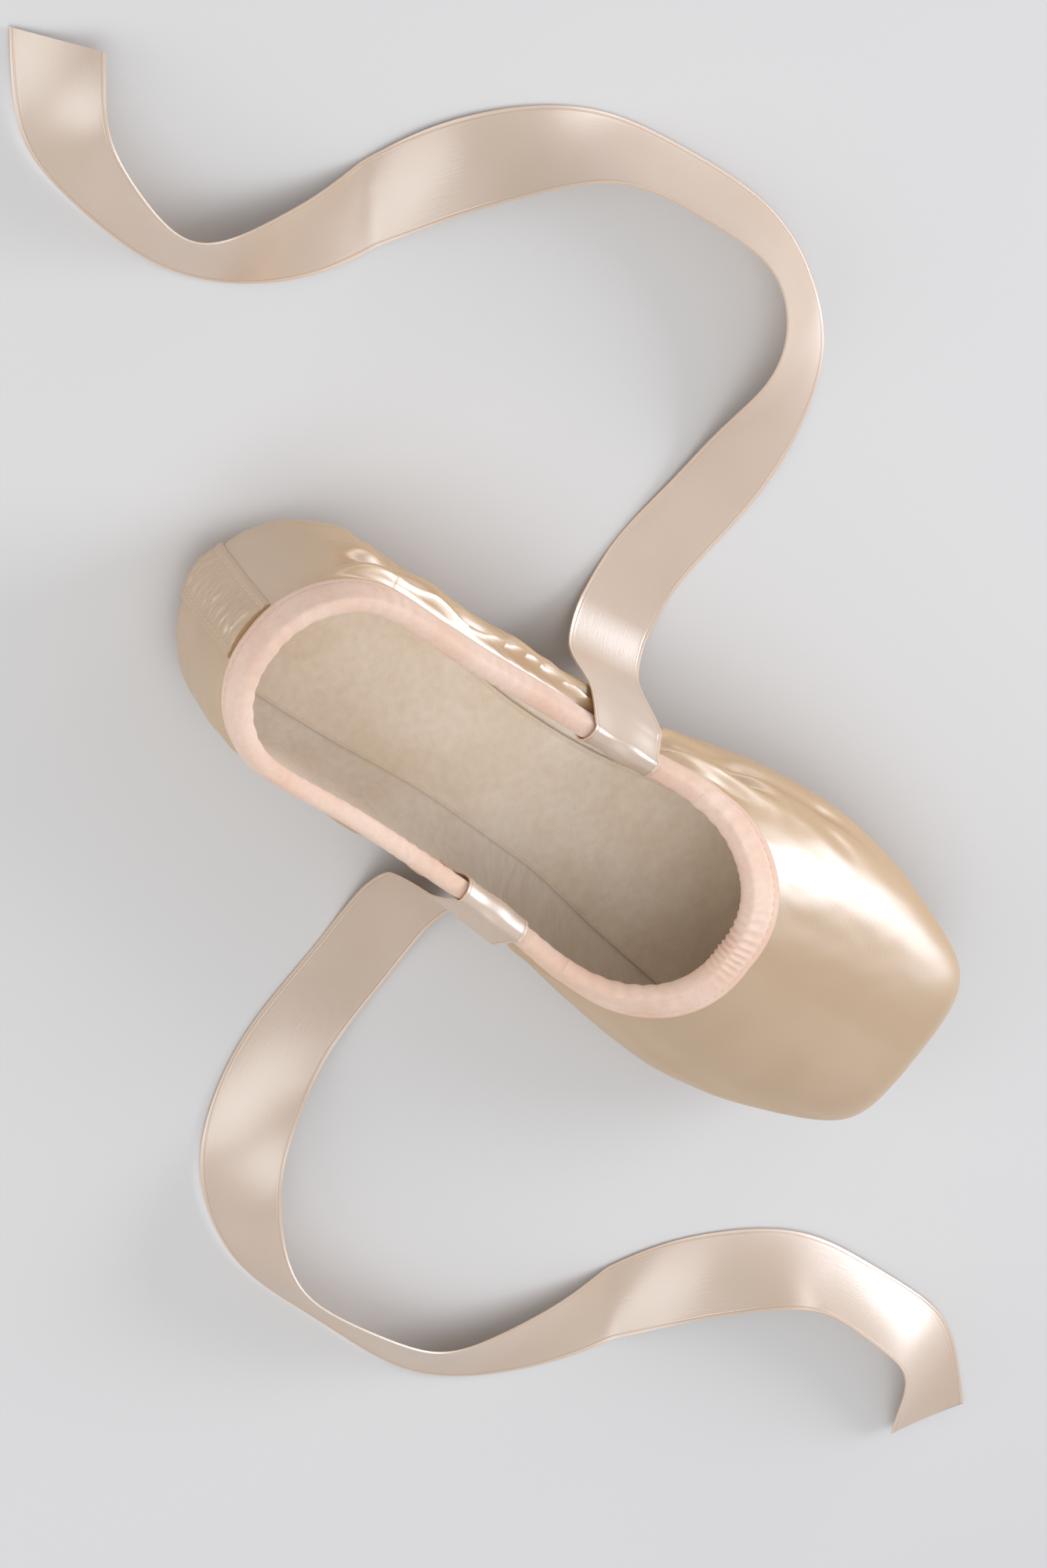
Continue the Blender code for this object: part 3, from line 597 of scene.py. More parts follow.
# %% Weave the cotton
def make_weave(name, light, deep, thread, ribs=0.6, hem=None):
    """Plain cotton: matt, a little uneven in colour. Its height is sine times sine, threads over and under."""
    cotton, shader = new_material(name, Roughness=0.85, Metallic=0.0, Sheen_Weight=0.2, Sheen_Roughness=0.5)
    node = partial(add, cotton)
    place = on_cloth(node, thread, thread)
    along, across = node("SeparateXYZ", [place], slice(2))
    wobble = node("TexNoise", {"Vector": place, "Scale": 0.35, "Detail": 1}, "Fac")
    turns = [node("Math", (count, 2 * math.pi), operation="MULTIPLY") for count in (along, across)]
    over, under = (node("Math", [turn], operation="SINE") for turn in turns)
    crossing = node("Math", (over, under), operation="MULTIPLY")
    height = node("Math", (crossing, ribs, wobble), operation="MULTIPLY_ADD")
    slow = node("TexNoise", {"Vector": node("TexCoord", out="Object"), "Scale": 60, "Detail": 3}, "Fac")
    tint = node("Mix", {0: node("MapRange", (slow, 0.3, 0.7), **SOFT), 6: linear(light), 7: linear(deep)}, **COLOUR)
    # The low places between the threads are darkened with painted shade
    painted_gap_shade = node("MapRange", (height, -0.2, 1, 0.25, 0), **SOFT)
    tint = node("Mix", {0: painted_gap_shade, 6: tint, 7: linear("#C9A184")}, blend_type="MULTIPLY", **COLOUR)
    if hem:
        # Beyond its stitches the tape lies flat over the satin, and its colour is drawn warmer and darker towards its
        # edge
        from_edge = node("Math", (across, thread), operation="MULTIPLY")
        warmth = node("MapRange", (from_edge, 0.0002, 0.0016, 0.5, 0), **SOFT)
        tint = node("Mix", {0: warmth, 6: tint, 7: linear(hem)}, **COLOUR)
    bump = node("Bump", {"Height": height, "Distance": 0.00008, "Strength": 0.5})
    join(cotton, shader, Base_Color=tint, Normal=bump)
    return cotton


# The casing's tape is a fine pinkish cotton, its threads drawn at 0.5 mm
cotton_tape = make_weave("pink cotton tape", "#F6DCCA", "#F0CDB8", 0.0005, hem="#E2AE8C")
# The lining is a firmer cotton twill, its threads drawn at 0.8 mm, and the sock's at 0.9 mm
cotton_lining = make_weave("cream cotton lining", "#FAF2E6", "#F3E8D8", 0.0008, ribs=0.25)
sock_cotton = make_weave("insole cotton", "#F8EEDF", "#F1E4D0", 0.0009, ribs=0.35)
# Spun polyester thread is smooth enough to catch a little light, and the sole's waxed thread is duller
sewing_thread, _ = new_material("peach sewing thread", Roughness=0.6, Base_Color=linear("#EBC9B0"))
dark_thread, _ = new_material("tan sole thread", Roughness=0.7, Base_Color=linear("#B08A60"))
print("cotton:", cotton_tape.name, "and", cotton_lining.name)

# %% [markdown]
# ## Sole leather
# The sole is split leather with a fine buffed nap, a little mottled, and its tread carries a plain lattice burnt in
# with an iron. Cut grooves would need a very fine mesh. The lattice is worked out from distances to its lines, so
# it stays sharp at any size.

# %% Buff and burn the leather
LATTICE_HALF_WIDTH, LATTICE_HALF_LENGTH, LATTICE_PITCH = 0.0185, 0.0290, 0.0092
LATTICE_SLANT = 0.62
LATTICE_Y = SOLE_FAN_Y + 0.004


def lattice_lines(node, x, y):
    """Burnt lines in an oval under the ball: two crossing sets with a stud at each crossing, and a double border."""
    ahead = node("Math", (y, LATTICE_Y), operation="SUBTRACT")
    shares = [
        node("Math", (offset, half), operation="DIVIDE")
        for offset, half in ((x, LATTICE_HALF_WIDTH), (ahead, LATTICE_HALF_LENGTH))
    ]
    squares = [node("Math", (share, 2), operation="POWER") for share in shares]
    oval = node("Math", [node("Math", squares, operation="ADD")], operation="SQRT")
    slants = [node("Math", (ahead, sign * LATTICE_SLANT, x), operation="MULTIPLY_ADD") for sign in (-1, 1)]
    offs = [node("Math", (slant, LATTICE_PITCH / 2), operation="PINGPONG") for slant in slants]
    lines = [node("MapRange", (off, 0.00018, 0.00042, 1, 0), **SOFT) for off in offs]
    corner = node("Math", offs, operation="MAXIMUM")
    stud = node("MapRange", (corner, 0.00075, 0.00100, 1, 0), **SOFT)
    inside = node("Math", (node("Math", lines, operation="MAXIMUM"), stud), operation="MAXIMUM")
    within = node("MapRange", (oval, 0.885, 0.890, 1, 0), **SOFT)
    drawn = node("Math", (inside, within), operation="MULTIPLY")
    for ring in (0.89, 1.0):
        away = node("Math", [node("Math", (oval, ring), operation="SUBTRACT")], operation="ABSOLUTE")
        border = node("MapRange", (away, 0.009, 0.019, 1, 0), **SOFT)
        drawn = node("Math", (drawn, border), operation="MAXIMUM")
    return drawn


def make_leather():
    """Buff split leather: fine grain, slight mottling, and a plain lattice burnt into the tread."""
    leather, shader = new_material("buff sole leather", Roughness=0.55)
    node = partial(add, leather)
    place = node("TexCoord", out="Object")
    mottle = node("TexNoise", {"Vector": place, "Scale": 90, "Detail": 4, "Roughness": 0.6}, "Fac")
    grain = node("TexNoise", {"Vector": place, "Scale": 1500, "Detail": 3}, "Fac")
    patchy = node("MapRange", (mottle, 0.3, 0.72), **SOFT)
    tint = node("Mix", {0: patchy, 6: linear("#E3C39C"), 7: linear("#D6B087")}, **COLOUR)
    x, y, z = node("SeparateXYZ", [place], slice(3))
    # The iron bites unevenly, and only on the tread
    uneven = node("MapRange", (mottle, 0.25, 0.55, 0.55, 0.95), **SOFT)
    on_tread = node("MapRange", (z, 0.004, 0.005, 1, 0), **SOFT)
    burnt = node("Math", (lattice_lines(node, x, y), uneven), operation="MULTIPLY")
    burnt = node("Math", (burnt, on_tread), operation="MULTIPLY")
    tint = node("Mix", {0: burnt, 6: tint, 7: linear("#9A5F2C")}, **COLOUR)
    # The stitch channel is darkened with painted shade; the rim and the cut edge are darker, as rubbed leather is
    edge = node("MapRange", (node("Attribute", (), "Fac", attribute_name="edge"), 0, 1, 0, 0.45), **SOFT)
    tint = node("Mix", {0: edge, 6: tint, 7: linear("#9A6F48")}, **COLOUR)
    bump = node("Bump", {"Height": grain, "Distance": 0.00008, "Strength": 0.35})
    bump = node("Bump", {"Height": burnt, "Distance": 0.0002, "Strength": 0.5, "Normal": bump}, invert=True)
    join(leather, shader, Base_Color=tint, Normal=bump)
    return leather


sole_leather = make_leather()
print("materials:", len(bpy.data.materials))

# %% [markdown]
# ## The ribbons
# Each ribbon is a single strip of double-faced satin, 22 mm wide and about 416 mm long. It is sewn inside the
# quarter, comes up along the lining, turns over the tape and lies loose on the floor, where it leans on one edge
# as it curves. A cloth simulation could drop it there, but it would land a little differently from the solid. So
# the strip is carried along the solid's route, read more finely, with a slight hollow across its width, which is
# how a cut satin ribbon lies.

# %% The ribbons' routes
# Where it is sewn, each spot is a distance below the collar's edge, in tape widths, and a place inside or outside
Pass = namedtuple("Pass", "below lining inner outer")
PASSES_IN = (
    Pass(2.9, 1.3, 0, 0),
    Pass(2.1, 1.3, 0, 0),
    Pass(1.3, 0, 1, 0),
    Pass(0.0, 0, 1, 0),
)
PASSES_OUT = (
    Pass(0.0, 0, 0, 1),
    Pass(1.1, 0, 0, 1.6),
    Pass(2.2, 0, 0, 2.1),
)
# Where it lies loose, each spot is out from the shoe, along it and up, in ribbon widths, with its lean in degrees
Lying = namedtuple("Lying", "out along lift lean")
LYING_OUTER = (
    Lying(0.32, 0.00, 0.50, 0),
    Lying(0.82, 0.05, 0.10, 0),
    Lying(1.50, 0.09, 0.01, 0),
    Lying(2.73, 0.00, 0.01, 4),
    Lying(4.27, 0.27, 0.01, 34),
    Lying(5.27, 1.77, 0.01, 64),
    Lying(5.09, 3.64, 0.01, 60),
    Lying(3.86, 5.05, 0.01, 24),
    Lying(2.23, 5.95, 0.01, -20),
    Lying(1.32, 7.32, 0.01, -58),
    Lying(1.59, 8.77, 0.01, -44),
    Lying(2.59, 9.68, 0.01, -8),
)
LYING_INNER = (
    Lying(0.32, 0.00, 0.50, 0),
    Lying(0.82, -0.05, 0.10, 0),
    Lying(1.50, -0.09, 0.01, 0),
    Lying(2.68, -0.05, 0.01, -4),
    Lying(4.18, -0.41, 0.01, -36),
    Lying(5.18, -1.86, 0.01, -66),
    Lying(5.14, -3.73, 0.01, -56),
    Lying(4.09, -5.27, 0.01, -18),
    Lying(2.59, -6.32, 0.01, 22),
    Lying(1.64, -7.73, 0.01, 56),
    Lying(1.68, -9.32, 0.01, 40),
    Lying(2.55, -10.41, 0.01, 6),
)
print(len(PASSES_IN) + len(PASSES_OUT), "spots where each ribbon is sewn,", len(LYING_OUTER), "where it lies")

# %% Where the ribbons are sewn and turn over the tape
ARCH_HEIGHT = 0.0026
ARCH_ANGLES = (150, 120, 90, 60, 30)


def collar_points(around, below):
    """Points on the last at a distance below the collar's edge, one for each station."""
    lines = traced_ribs(around)
    distance = lengths(lines)
    return read_lines(lines, distance, distance[:, -1:] - below)[:, 0]


def side_points(side, below, wanted):
    """Points on the last at a distance below the collar's edge, at the wanted places along the shoe."""
    line = collar_points(side * np.linspace(HEEL_TURN, TOE_TURN, 81), below)
    return read_along(-wanted, -line[:, 1], line)


def ribbon_over_collar(side):
    """Where a ribbon comes up along the lining, turns over the binding and goes down outside: middle and across."""
    wanted = RIBBON_Y + RIBBON_WIDTH * np.array([-0.5, 0, 0.5])
    outer = 2 * SEAT_GAP + BINDING_THICKNESS + RIBBON_THICKNESS / 2
    inner = -(QUARTER_WALL + outer)
    lining = -(QUARTER_WALL + SEAT_GAP + RIBBON_THICKNESS / 2)
    spots = []
    for row in PASSES_IN + PASSES_OUT:
        on_last = side_points(side, row.below * BINDING_WIDTH, wanted)
        spots.append(on_last + (row.lining * lining + row.inner * inner + row.outer * outer) * outward(on_last))
    rim = side_points(side, 0, wanted)
    rim_out = outward(rim)
    # Over the tape it bends in a round arch, from inside to outside
    half_wall = QUARTER_WALL / 2
    arch = [
        rim + ((outer + half_wall) * math.cos(a) - half_wall) * rim_out + [0, 0, ARCH_HEIGHT * math.sin(a)]
        for a in np.radians(ARCH_ANGLES)
    ]
    spots = np.array(spots[: len(PASSES_IN)] + arch + spots[len(PASSES_IN) :])
    return spots[:, 1], unit(spots[:, 2] - spots[:, 0])


print("the ribbon turns over a collar", side_points(1, 0, np.array([RIBBON_Y]))[0, 2].round(4), "m above the floor")


# %% Where the ribbons lie loose
RIBBON_STEPS = 21
CALM_REACH, CALM_WIDTH = 14, 6
CALM_FROM, CALM_FULL = 0.075, 0.11


def ribbon_lying(side, lying):
    """The stretch that lies loose, and the direction across it, level but for its lean."""
    rows = np.array(lying)
    out, along, lift = RIBBON_WIDTH * rows[:, :3].T
    middle = np.stack([side * (WAIST_WIDTH / 2 + out), RIBBON_Y + along, lift], -1)
    ahead = unit(np.gradient(middle[:, :2], axis=0))
    lean = np.radians(rows[:, 3])
    level = np.stack([-ahead[:, 1], ahead[:, 0], np.zeros(len(rows))], -1) * side
    return middle, level * np.cos(lean)[:, None] + np.array([0, 0, 1]) * np.sin(lean)[:, None]


def softened(line, weight):
    """The line drawn towards its own running average, more where weight is 1."""
    kernel = np.exp(-((np.arange(-CALM_REACH, CALM_REACH + 1) / CALM_WIDTH) ** 2))
    wide = np.pad(line, ((CALM_REACH, CALM_REACH), (0, 0)), mode="reflect", reflect_type="odd")
    calm = np.stack([np.convolve(column, kernel / kernel.sum(), "valid") for column in wide.T], -1)
    return line + (calm - line) * weight[:, None]


def ribbon_line(side, lying):
    """The ribbon's middle line and the direction across it, as smooth curves that stay on the floor."""
    sewn, sewn_across = ribbon_over_collar(side)
    loose, loose_across = ribbon_lying(side, lying)
    middle = np.concatenate([sewn, loose])
    across = np.concatenate([sewn_across, loose_across])
    knots = run_along(middle)
    at = np.interp(np.arange(0, len(knots) - 1 + 0.5 / RIBBON_STEPS, 1 / RIBBON_STEPS), np.arange(len(knots)), knots)
    loose = smooth_rise(at, CALM_FROM, CALM_FULL)
    middle = softened(np.stack([through(at, knots, column) for column in middle.T], -1), loose)
    across = unit(softened(np.stack([through(at, knots, column) for column in across.T], -1), loose))
    middle[:, 2] += RIBBON_WIDTH / 2 * np.abs(across[:, 2]) + RIBBON_THICKNESS / 2
    return middle, across


print("the outer route has", len(ribbon_line(1, LYING_OUTER)[0]), "points")

# %% Weave the ribbons
RIBBON_COLUMNS = 21
RIBBON_CLOTH = 0.00032
SELVEDGE_RAISED = 0.00008
RIPPLE_HEIGHT, RIPPLE_SPACING = 0.00035, 0.0125
HOLLOW_DEPTH = 0.0008
LOOSE_FROM, LOOSE_FULL = 0.09, 0.13
BENT_REACH, BENT_NARROWER, BENT_FOLDS = 0.014, 0.07, 0.00028
FLOOR_GAP = 0.0001
SEWN_FROM, SEWN_TO, SEWN_INSET = 0.0015, 0.0115, 2


def make_ribbon(name, side, lying, end_slant):
    """One ribbon as a thin closed strip, with a slight hollow across it, soft waves and a slanting cut end."""
    middle, across = ribbon_line(side, lying)
    along = run_along(middle)
    share = np.linspace(-1, 1, RIBBON_COLUMNS)
    # The cut end: the line is read a little short towards one edge
    short = end_slant * (1 - share) / 2 * smooth_rise(along, along[-1] - 0.03, along[-1])[:, None]
    reached = along[:, None] - short
    centre = read_along(reached, along, middle)
    wide = unit(read_along(reached, along, across))
    ahead = unit(np.gradient(middle, axis=0))
    top = int(np.argmax(middle[: len(middle) // 2, 2]))
    face = np.cross(ahead, across)
    face = face * np.sign(face[top, 2])
    thick = read_along(reached, along, face)
    loose = smooth_rise(along, LOOSE_FROM, LOOSE_FULL)[:, None]
    ripple = RIPPLE_HEIGHT * np.sin(along[:, None] / RIPPLE_SPACING + 1.4 * share) * loose
    hollow = HOLLOW_DEPTH * (share**2 - 0.35) * loose
    # Where it bends over the tape the ribbon draws in a little and folds softly along its length
    bent = np.exp(-(((along - along[top]) / BENT_REACH) ** 2))[:, None]
    drawn = BENT_FOLDS * np.cos(4.6 * share + 0.9) * bent
    across_by = share * RIBBON_WIDTH / 2 * (1 - BENT_NARROWER * bent)
    points = centre + wide * across_by[..., None] + thick * (ripple + hollow + drawn)[..., None]
    half = RIBBON_CLOTH / 2 + SELVEDGE_RAISED * smooth_rise(np.abs(share), 0.90, 0.96)
    upper, lower = points + thick * half[:, None], points - thick * half[:, None]
    upper[..., 2] = np.maximum(upper[..., 2], 4 * FLOOR_GAP)
    lower[..., 2] = np.maximum(lower[..., 2], FLOOR_GAP)
    loop = np.concatenate([upper, lower[:, ::-1]], 1)
    flat_v = np.concatenate([share, share[::-1], share[:1]]) * RIBBON_WIDTH / 2
    u, v = np.broadcast_arrays(along[:, None], flat_v[None])
    ends = end_faces(RIBBON_COLUMNS, len(along))
    faces = np.concatenate([grid_faces(*loop.shape[:2], close_columns=True), ends])
    uv = np.concatenate([grid_uv(u, v), np.zeros((4 * len(ends), 2))])
    piece = new_piece(name, loop, faces, [ribbon_satin], uv, sharp=60)
    close_up(piece, merge=1e-7, sharp=60)
    print(f"{name}: {along[-1] * 1000:.0f} mm long")
    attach(piece, "root")
    # The box of stitches that holds the sewn end lies on the side that faces into the shoe
    first, last_row = np.searchsorted(along, [SEWN_FROM, SEWN_TO])
    low, high = SEWN_INSET, RIBBON_COLUMNS - 1 - SEWN_INSET
    rows = np.r_[np.arange(first, last_row), np.full(high - low, last_row), np.arange(last_row, first, -1)]
    rows = np.r_[rows, np.full(high - low + 1, first)]
    columns = np.r_[np.full(last_row - first, low), np.arange(low, high), np.full(last_row - first, high)]
    columns = np.r_[columns, np.arange(high, low - 1, -1)]
    return piece, points[rows, columns] + thick[rows, columns] * RIBBON_CLOTH / 2, thick[rows, columns]


ribbon_out, *box_out = make_ribbon("satin_ribbon_outer", 1, LYING_OUTER, 0.008)
ribbon_in, *box_in = make_ribbon("satin_ribbon_inner", -1, LYING_INNER, -0.008)
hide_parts("ribbon_outer")
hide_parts("ribbon_inner")

# %% [markdown]
# ## The satin upper
# The real upper is satin over canvas, pulled down over the last and glued under the sole. Three things show that
# pull: pleats where the spare cloth is gathered in front of the sole, fine wrinkles that fan out of the sole's
# waist, and soft puffs where the empty quarter relaxes. The vamp over the stiff box stays smooth. A simulation
# would fold the cloth wherever it liked, so each main fold is given one by one, as a trough with low shoulders
# between two spots. The spots are given as (round, up): round runs from 0 at the heel to 1 at the toe, and up from
# 0 at the sole's edge to 1 at the collar. A negative depth makes a ridge.

# %% Folds
Fold = namedtuple("Fold", "side from_round from_up to_round to_up bow width depth")
FOLDS = (
    # Outer quarter: the crease along the tape, then the wrinkles that fan out of the sole's waist
    Fold(1, 0.08, 0.775, 0.34, 0.785, 0.000, 0.0022, -0.0014),
    Fold(1, 0.27, 0.775, 0.47, 0.770, 0.000, 0.0020, -0.0015),
    Fold(1, 0.10, 0.68, 0.27, 0.70, 0.006, 0.0028, 0.0014),
    Fold(1, 0.25, 0.695, 0.40, 0.685, -0.004, 0.0029, 0.0016),
    Fold(1, 0.37, 0.68, 0.47, 0.71, 0.004, 0.0024, 0.0014),
    Fold(1, 0.47, 0.02, 0.40, 0.52, 0.010, 0.0022, 0.0009),
    Fold(1, 0.43, 0.02, 0.35, 0.44, -0.006, 0.0017, 0.0007),
    Fold(1, 0.395, 0.02, 0.30, 0.48, 0.008, 0.0023, 0.0009),
    Fold(1, 0.36, 0.02, 0.26, 0.34, -0.005, 0.0016, 0.0006),
    Fold(1, 0.325, 0.02, 0.21, 0.42, 0.010, 0.0020, 0.0008),
    Fold(1, 0.29, 0.02, 0.19, 0.28, 0.000, 0.0016, 0.0005),
    Fold(1, 0.25, 0.02, 0.14, 0.30, 0.006, 0.0018, 0.0006),
    Fold(1, 0.20, 0.02, 0.11, 0.22, 0.000, 0.0015, 0.0004),
    Fold(1, 0.33, 0.60, 0.22, 0.42, 0.012, 0.0032, 0.0009),
    Fold(1, 0.43, 0.62, 0.36, 0.44, -0.010, 0.0028, 0.0009),
    Fold(1, 0.18, 0.62, 0.10, 0.40, 0.008, 0.0030, 0.0009),
    # Outer side seam: puckers at its top, then the creases of the wing
    Fold(1, 0.500, 0.84, 0.455, 0.56, 0.000, 0.0018, 0.0005),
    Fold(1, 0.505, 0.80, 0.475, 0.50, 0.000, 0.0015, 0.0004),
    Fold(1, 0.515, 0.86, 0.560, 0.64, 0.004, 0.0016, 0.0007),
    Fold(1, 0.520, 0.88, 0.700, 0.66, 0.012, 0.0024, 0.0013),
    Fold(1, 0.540, 0.72, 0.680, 0.46, -0.010, 0.0026, 0.0013),
    Fold(1, 0.510, 0.62, 0.600, 0.38, 0.006, 0.0022, 0.0008),
    Fold(1, 0.525, 0.785, 0.780, 0.795, 0.000, 0.0023, -0.0014),
    Fold(1, 0.560, 0.730, 0.780, 0.690, 0.004, 0.0020, 0.0012),
    Fold(1, 0.600, 0.56, 0.790, 0.40, 0.000, 0.0026, 0.0009),
    Fold(1, 0.660, 0.62, 0.810, 0.50, 0.000, 0.0028, 0.0007),
    Fold(1, 0.700, 0.50, 0.840, 0.42, 0.000, 0.0028, 0.0005),
    Fold(1, 0.740, 0.66, 0.850, 0.60, 0.000, 0.0024, 0.0004),
    # Outer forefoot: short wrinkles along the sole
    Fold(1, 0.50, 0.02, 0.53, 0.36, 0.004, 0.0018, 0.0006),
    Fold(1, 0.54, 0.02, 0.60, 0.34, -0.004, 0.0017, 0.0006),
    Fold(1, 0.58, 0.02, 0.66, 0.28, 0.004, 0.0016, 0.0005),
    Fold(1, 0.63, 0.02, 0.71, 0.24, 0.000, 0.0016, 0.0005),
    Fold(1, 0.69, 0.02, 0.75, 0.20, 0.000, 0.0014, 0.0004),
    # Inner quarter
    Fold(-1, 0.07, 0.82, 0.44, 0.81, 0.000, 0.0020, 0.0006),
    Fold(-1, 0.46, 0.02, 0.38, 0.50, 0.008, 0.0021, 0.0009),
    Fold(-1, 0.42, 0.02, 0.36, 0.36, 0.000, 0.0016, 0.0006),
    Fold(-1, 0.385, 0.02, 0.29, 0.46, 0.010, 0.0022, 0.0009),
    Fold(-1, 0.345, 0.02, 0.26, 0.30, -0.004, 0.0015, 0.0006),
    Fold(-1, 0.315, 0.02, 0.21, 0.40, 0.006, 0.0021, 0.0008),
    Fold(-1, 0.27, 0.02, 0.17, 0.26, 0.000, 0.0016, 0.0005),
    Fold(-1, 0.23, 0.02, 0.13, 0.32, 0.006, 0.0018, 0.0006),
    Fold(-1, 0.18, 0.02, 0.10, 0.20, 0.000, 0.0014, 0.0004),
    Fold(-1, 0.35, 0.76, 0.25, 0.50, 0.010, 0.0030, 0.0010),
    Fold(-1, 0.45, 0.78, 0.39, 0.54, -0.008, 0.0026, 0.0009),
    Fold(-1, 0.500, 0.86, 0.460, 0.62, 0.000, 0.0015, 0.0006),
    Fold(-1, 0.515, 0.86, 0.555, 0.66, 0.004, 0.0015, 0.0006),
    Fold(-1, 0.520, 0.88, 0.690, 0.68, 0.010, 0.0022, 0.0008),
    Fold(-1, 0.545, 0.70, 0.670, 0.48, -0.008, 0.0024, 0.0008),
    Fold(-1, 0.51, 0.02, 0.55, 0.34, 0.004, 0.0018, 0.0006),
    Fold(-1, 0.56, 0.02, 0.62, 0.30, -0.004, 0.0016, 0.0005),
    Fold(-1, 0.61, 0.02, 0.68, 0.26, 0.004, 0.0016, 0.0005),
    Fold(-1, 0.67, 0.02, 0.74, 0.20, 0.000, 0.0014, 0.0004),
)
print(len(FOLDS), "folds")

# %% Puffs, pleats and seams
Puff = namedtuple("Puff", "side round up radius height")
PUFFS = (
    Puff(1, 0.13, 0.62, 0.012, 0.0020),
    Puff(1, 0.235, 0.63, 0.011, 0.0034),
    Puff(1, 0.34, 0.61, 0.013, 0.0042),
    Puff(1, 0.425, 0.63, 0.008, 0.0030),
    Puff(1, 0.470, 0.72, 0.005, 0.0010),
    Puff(1, 0.19, 0.52, 0.009, -0.0010),
    Puff(1, 0.33, 0.46, 0.009, -0.0012),
    Puff(1, 0.57, 0.70, 0.010, 0.0012),
    Puff(1, 0.62, 0.52, 0.010, -0.0008),
    Puff(1, 0.68, 0.60, 0.009, 0.0010),
    Puff(-1, 0.09, 0.64, 0.014, 0.0009),
    Puff(-1, 0.29, 0.62, 0.013, 0.0020),
    Puff(-1, 0.40, 0.62, 0.011, 0.0016),
    Puff(-1, 0.21, 0.50, 0.009, -0.0010),
    Puff(-1, 0.35, 0.44, 0.009, -0.0010),
    Puff(-1, 0.58, 0.68, 0.010, 0.0010),
)
# Pleats in front of the sole: place round the toe, height and length, in shares of a full pleat
Pleat = namedtuple("Pleat", "round height length")
PLEATS = (
    Pleat(-0.800, 0.35, 0.55),
    Pleat(-0.840, 0.55, 0.70),
    Pleat(-0.874, 0.80, 0.85),
    Pleat(-0.905, 1.00, 1.00),
    Pleat(-0.934, 0.90, 1.00),
    Pleat(-0.966, 1.00, 0.95),
    Pleat(0.998, 0.90, 1.00),
    Pleat(0.962, 1.10, 1.00),
    Pleat(0.915, 1.25, 1.00),
    Pleat(0.880, 0.80, 0.90),
    Pleat(0.845, 0.60, 0.75),
    Pleat(0.805, 0.40, 0.55),
)
PLEAT_HEIGHT = 0.0018
SEAM_ROUND, SEAM_DEPTH, SEAM_RIDGE = 0.505, 0.00045, 0.0003
WRINKLE_SPACING, WRINKLE_HEIGHT = 0.0030, 0.00034
HUNG_SPACING, HUNG_HEIGHT = 0.0038, 0.00010
print(len(PUFFS), "puffs and", len(PLEATS), "pleats")


# %% How far folds and puffs lift the cloth
def spots_on_upper(around, up):
    """Points on the last at (round, up), where up 0 is the sole's edge and up 1 the collar."""
    lines = traced_ribs(np.asarray(around, float))
    distance = lengths(lines)
    wanted = LASTING_MARGIN + np.asarray(up)[:, None] * (distance[:, -1:] - LASTING_MARGIN)
    return read_lines(lines, distance, wanted)[:, 0]


def distance_to_path(points, path):
    """The distance from each point to a path of short straight pieces, and how far along it, from 0 to 1."""
    best = np.full(len(points), np.inf)
    where = np.zeros(len(points))
    pieces = len(path) - 1
    for i in range(pieces):
        step = path[i + 1] - path[i]
        t = np.clip((points - path[i]) @ step / (step @ step), 0, 1)
        away = np.linalg.norm(points - path[i] - t[:, None] * step, axis=1)
        nearer = away < best
        best, where = np.where(nearer, away, best), np.where(nearer, (i + t) / pieces, where)
    return best, where


def fold_heights(points):
    """Height of every listed fold at the points: a trough with a low shoulder on both sides."""
    flat = points.reshape(-1, 3)
    height = np.zeros(len(flat))
    t = np.linspace(0, 1, 9)
    for fold in FOLDS:
        around = fold.from_round + (fold.to_round - fold.from_round) * t + fold.bow * 4 * t * (1 - t)
        path = spots_on_upper(fold.side * around, fold.from_up + (fold.to_up - fold.from_up) * t)
        reach = 5 * fold.width
        near = ((flat > path.min(0) - reach) & (flat < path.max(0) + reach)).all(1)
        away, where = distance_to_path(flat[near], path)
        taper = smooth_rise(where, 0, 0.18) * (1 - smooth_rise(where, 0.55, 1))
        narrow = np.exp(-((away / fold.width) ** 2))
        shoulder = np.exp(-((away / (2.3 * fold.width)) ** 2))
        height[near] += fold.depth * taper * (0.75 * shoulder - 1.35 * narrow)
    return height.reshape(points.shape[:-1])


def puff_heights(points):
    """Height of the soft puffs and hollows, each a smooth mound round its spot."""
    height = np.zeros(points.shape[:-1])
    for puff in PUFFS:
        centre = spots_on_upper([puff.side * puff.round], [puff.up])[0]
        height += puff.height * np.exp(-((np.linalg.norm(points - centre, axis=-1) / puff.radius) ** 2))
    return height


print("the seam meets the tape at", spots_on_upper([SEAM_ROUND], [0.83]).round(4)[0])


# %% How far pleats, seams and wrinkles lift it
def pleat_heights(around, past_sole):
    """Overlapping pleats: each rises slowly to its lip and drops steeply, and fades towards the platform."""
    height = np.zeros(past_sole.shape)
    turn = np.mod(around, 2)[:, None]
    for pleat in PLEATS:
        place = np.mod(pleat.round, 2)
        away = (turn - place) * np.sign(1.0 - place + 1e-6)
        slope = np.clip(1 - away / 0.030, 0, 1) ** 1.3
        lip = np.where(away > 0, slope, np.exp(-((away / 0.0022) ** 2)))
        reach = PLEAT_LENGTH * pleat.length
        fade = smooth_rise(past_sole, 0.0, 0.003) * (1 - smooth_rise(past_sole, 0.45 * reach, 1.35 * reach))
        height += PLEAT_HEIGHT * pleat.height * lip * fade
    return height


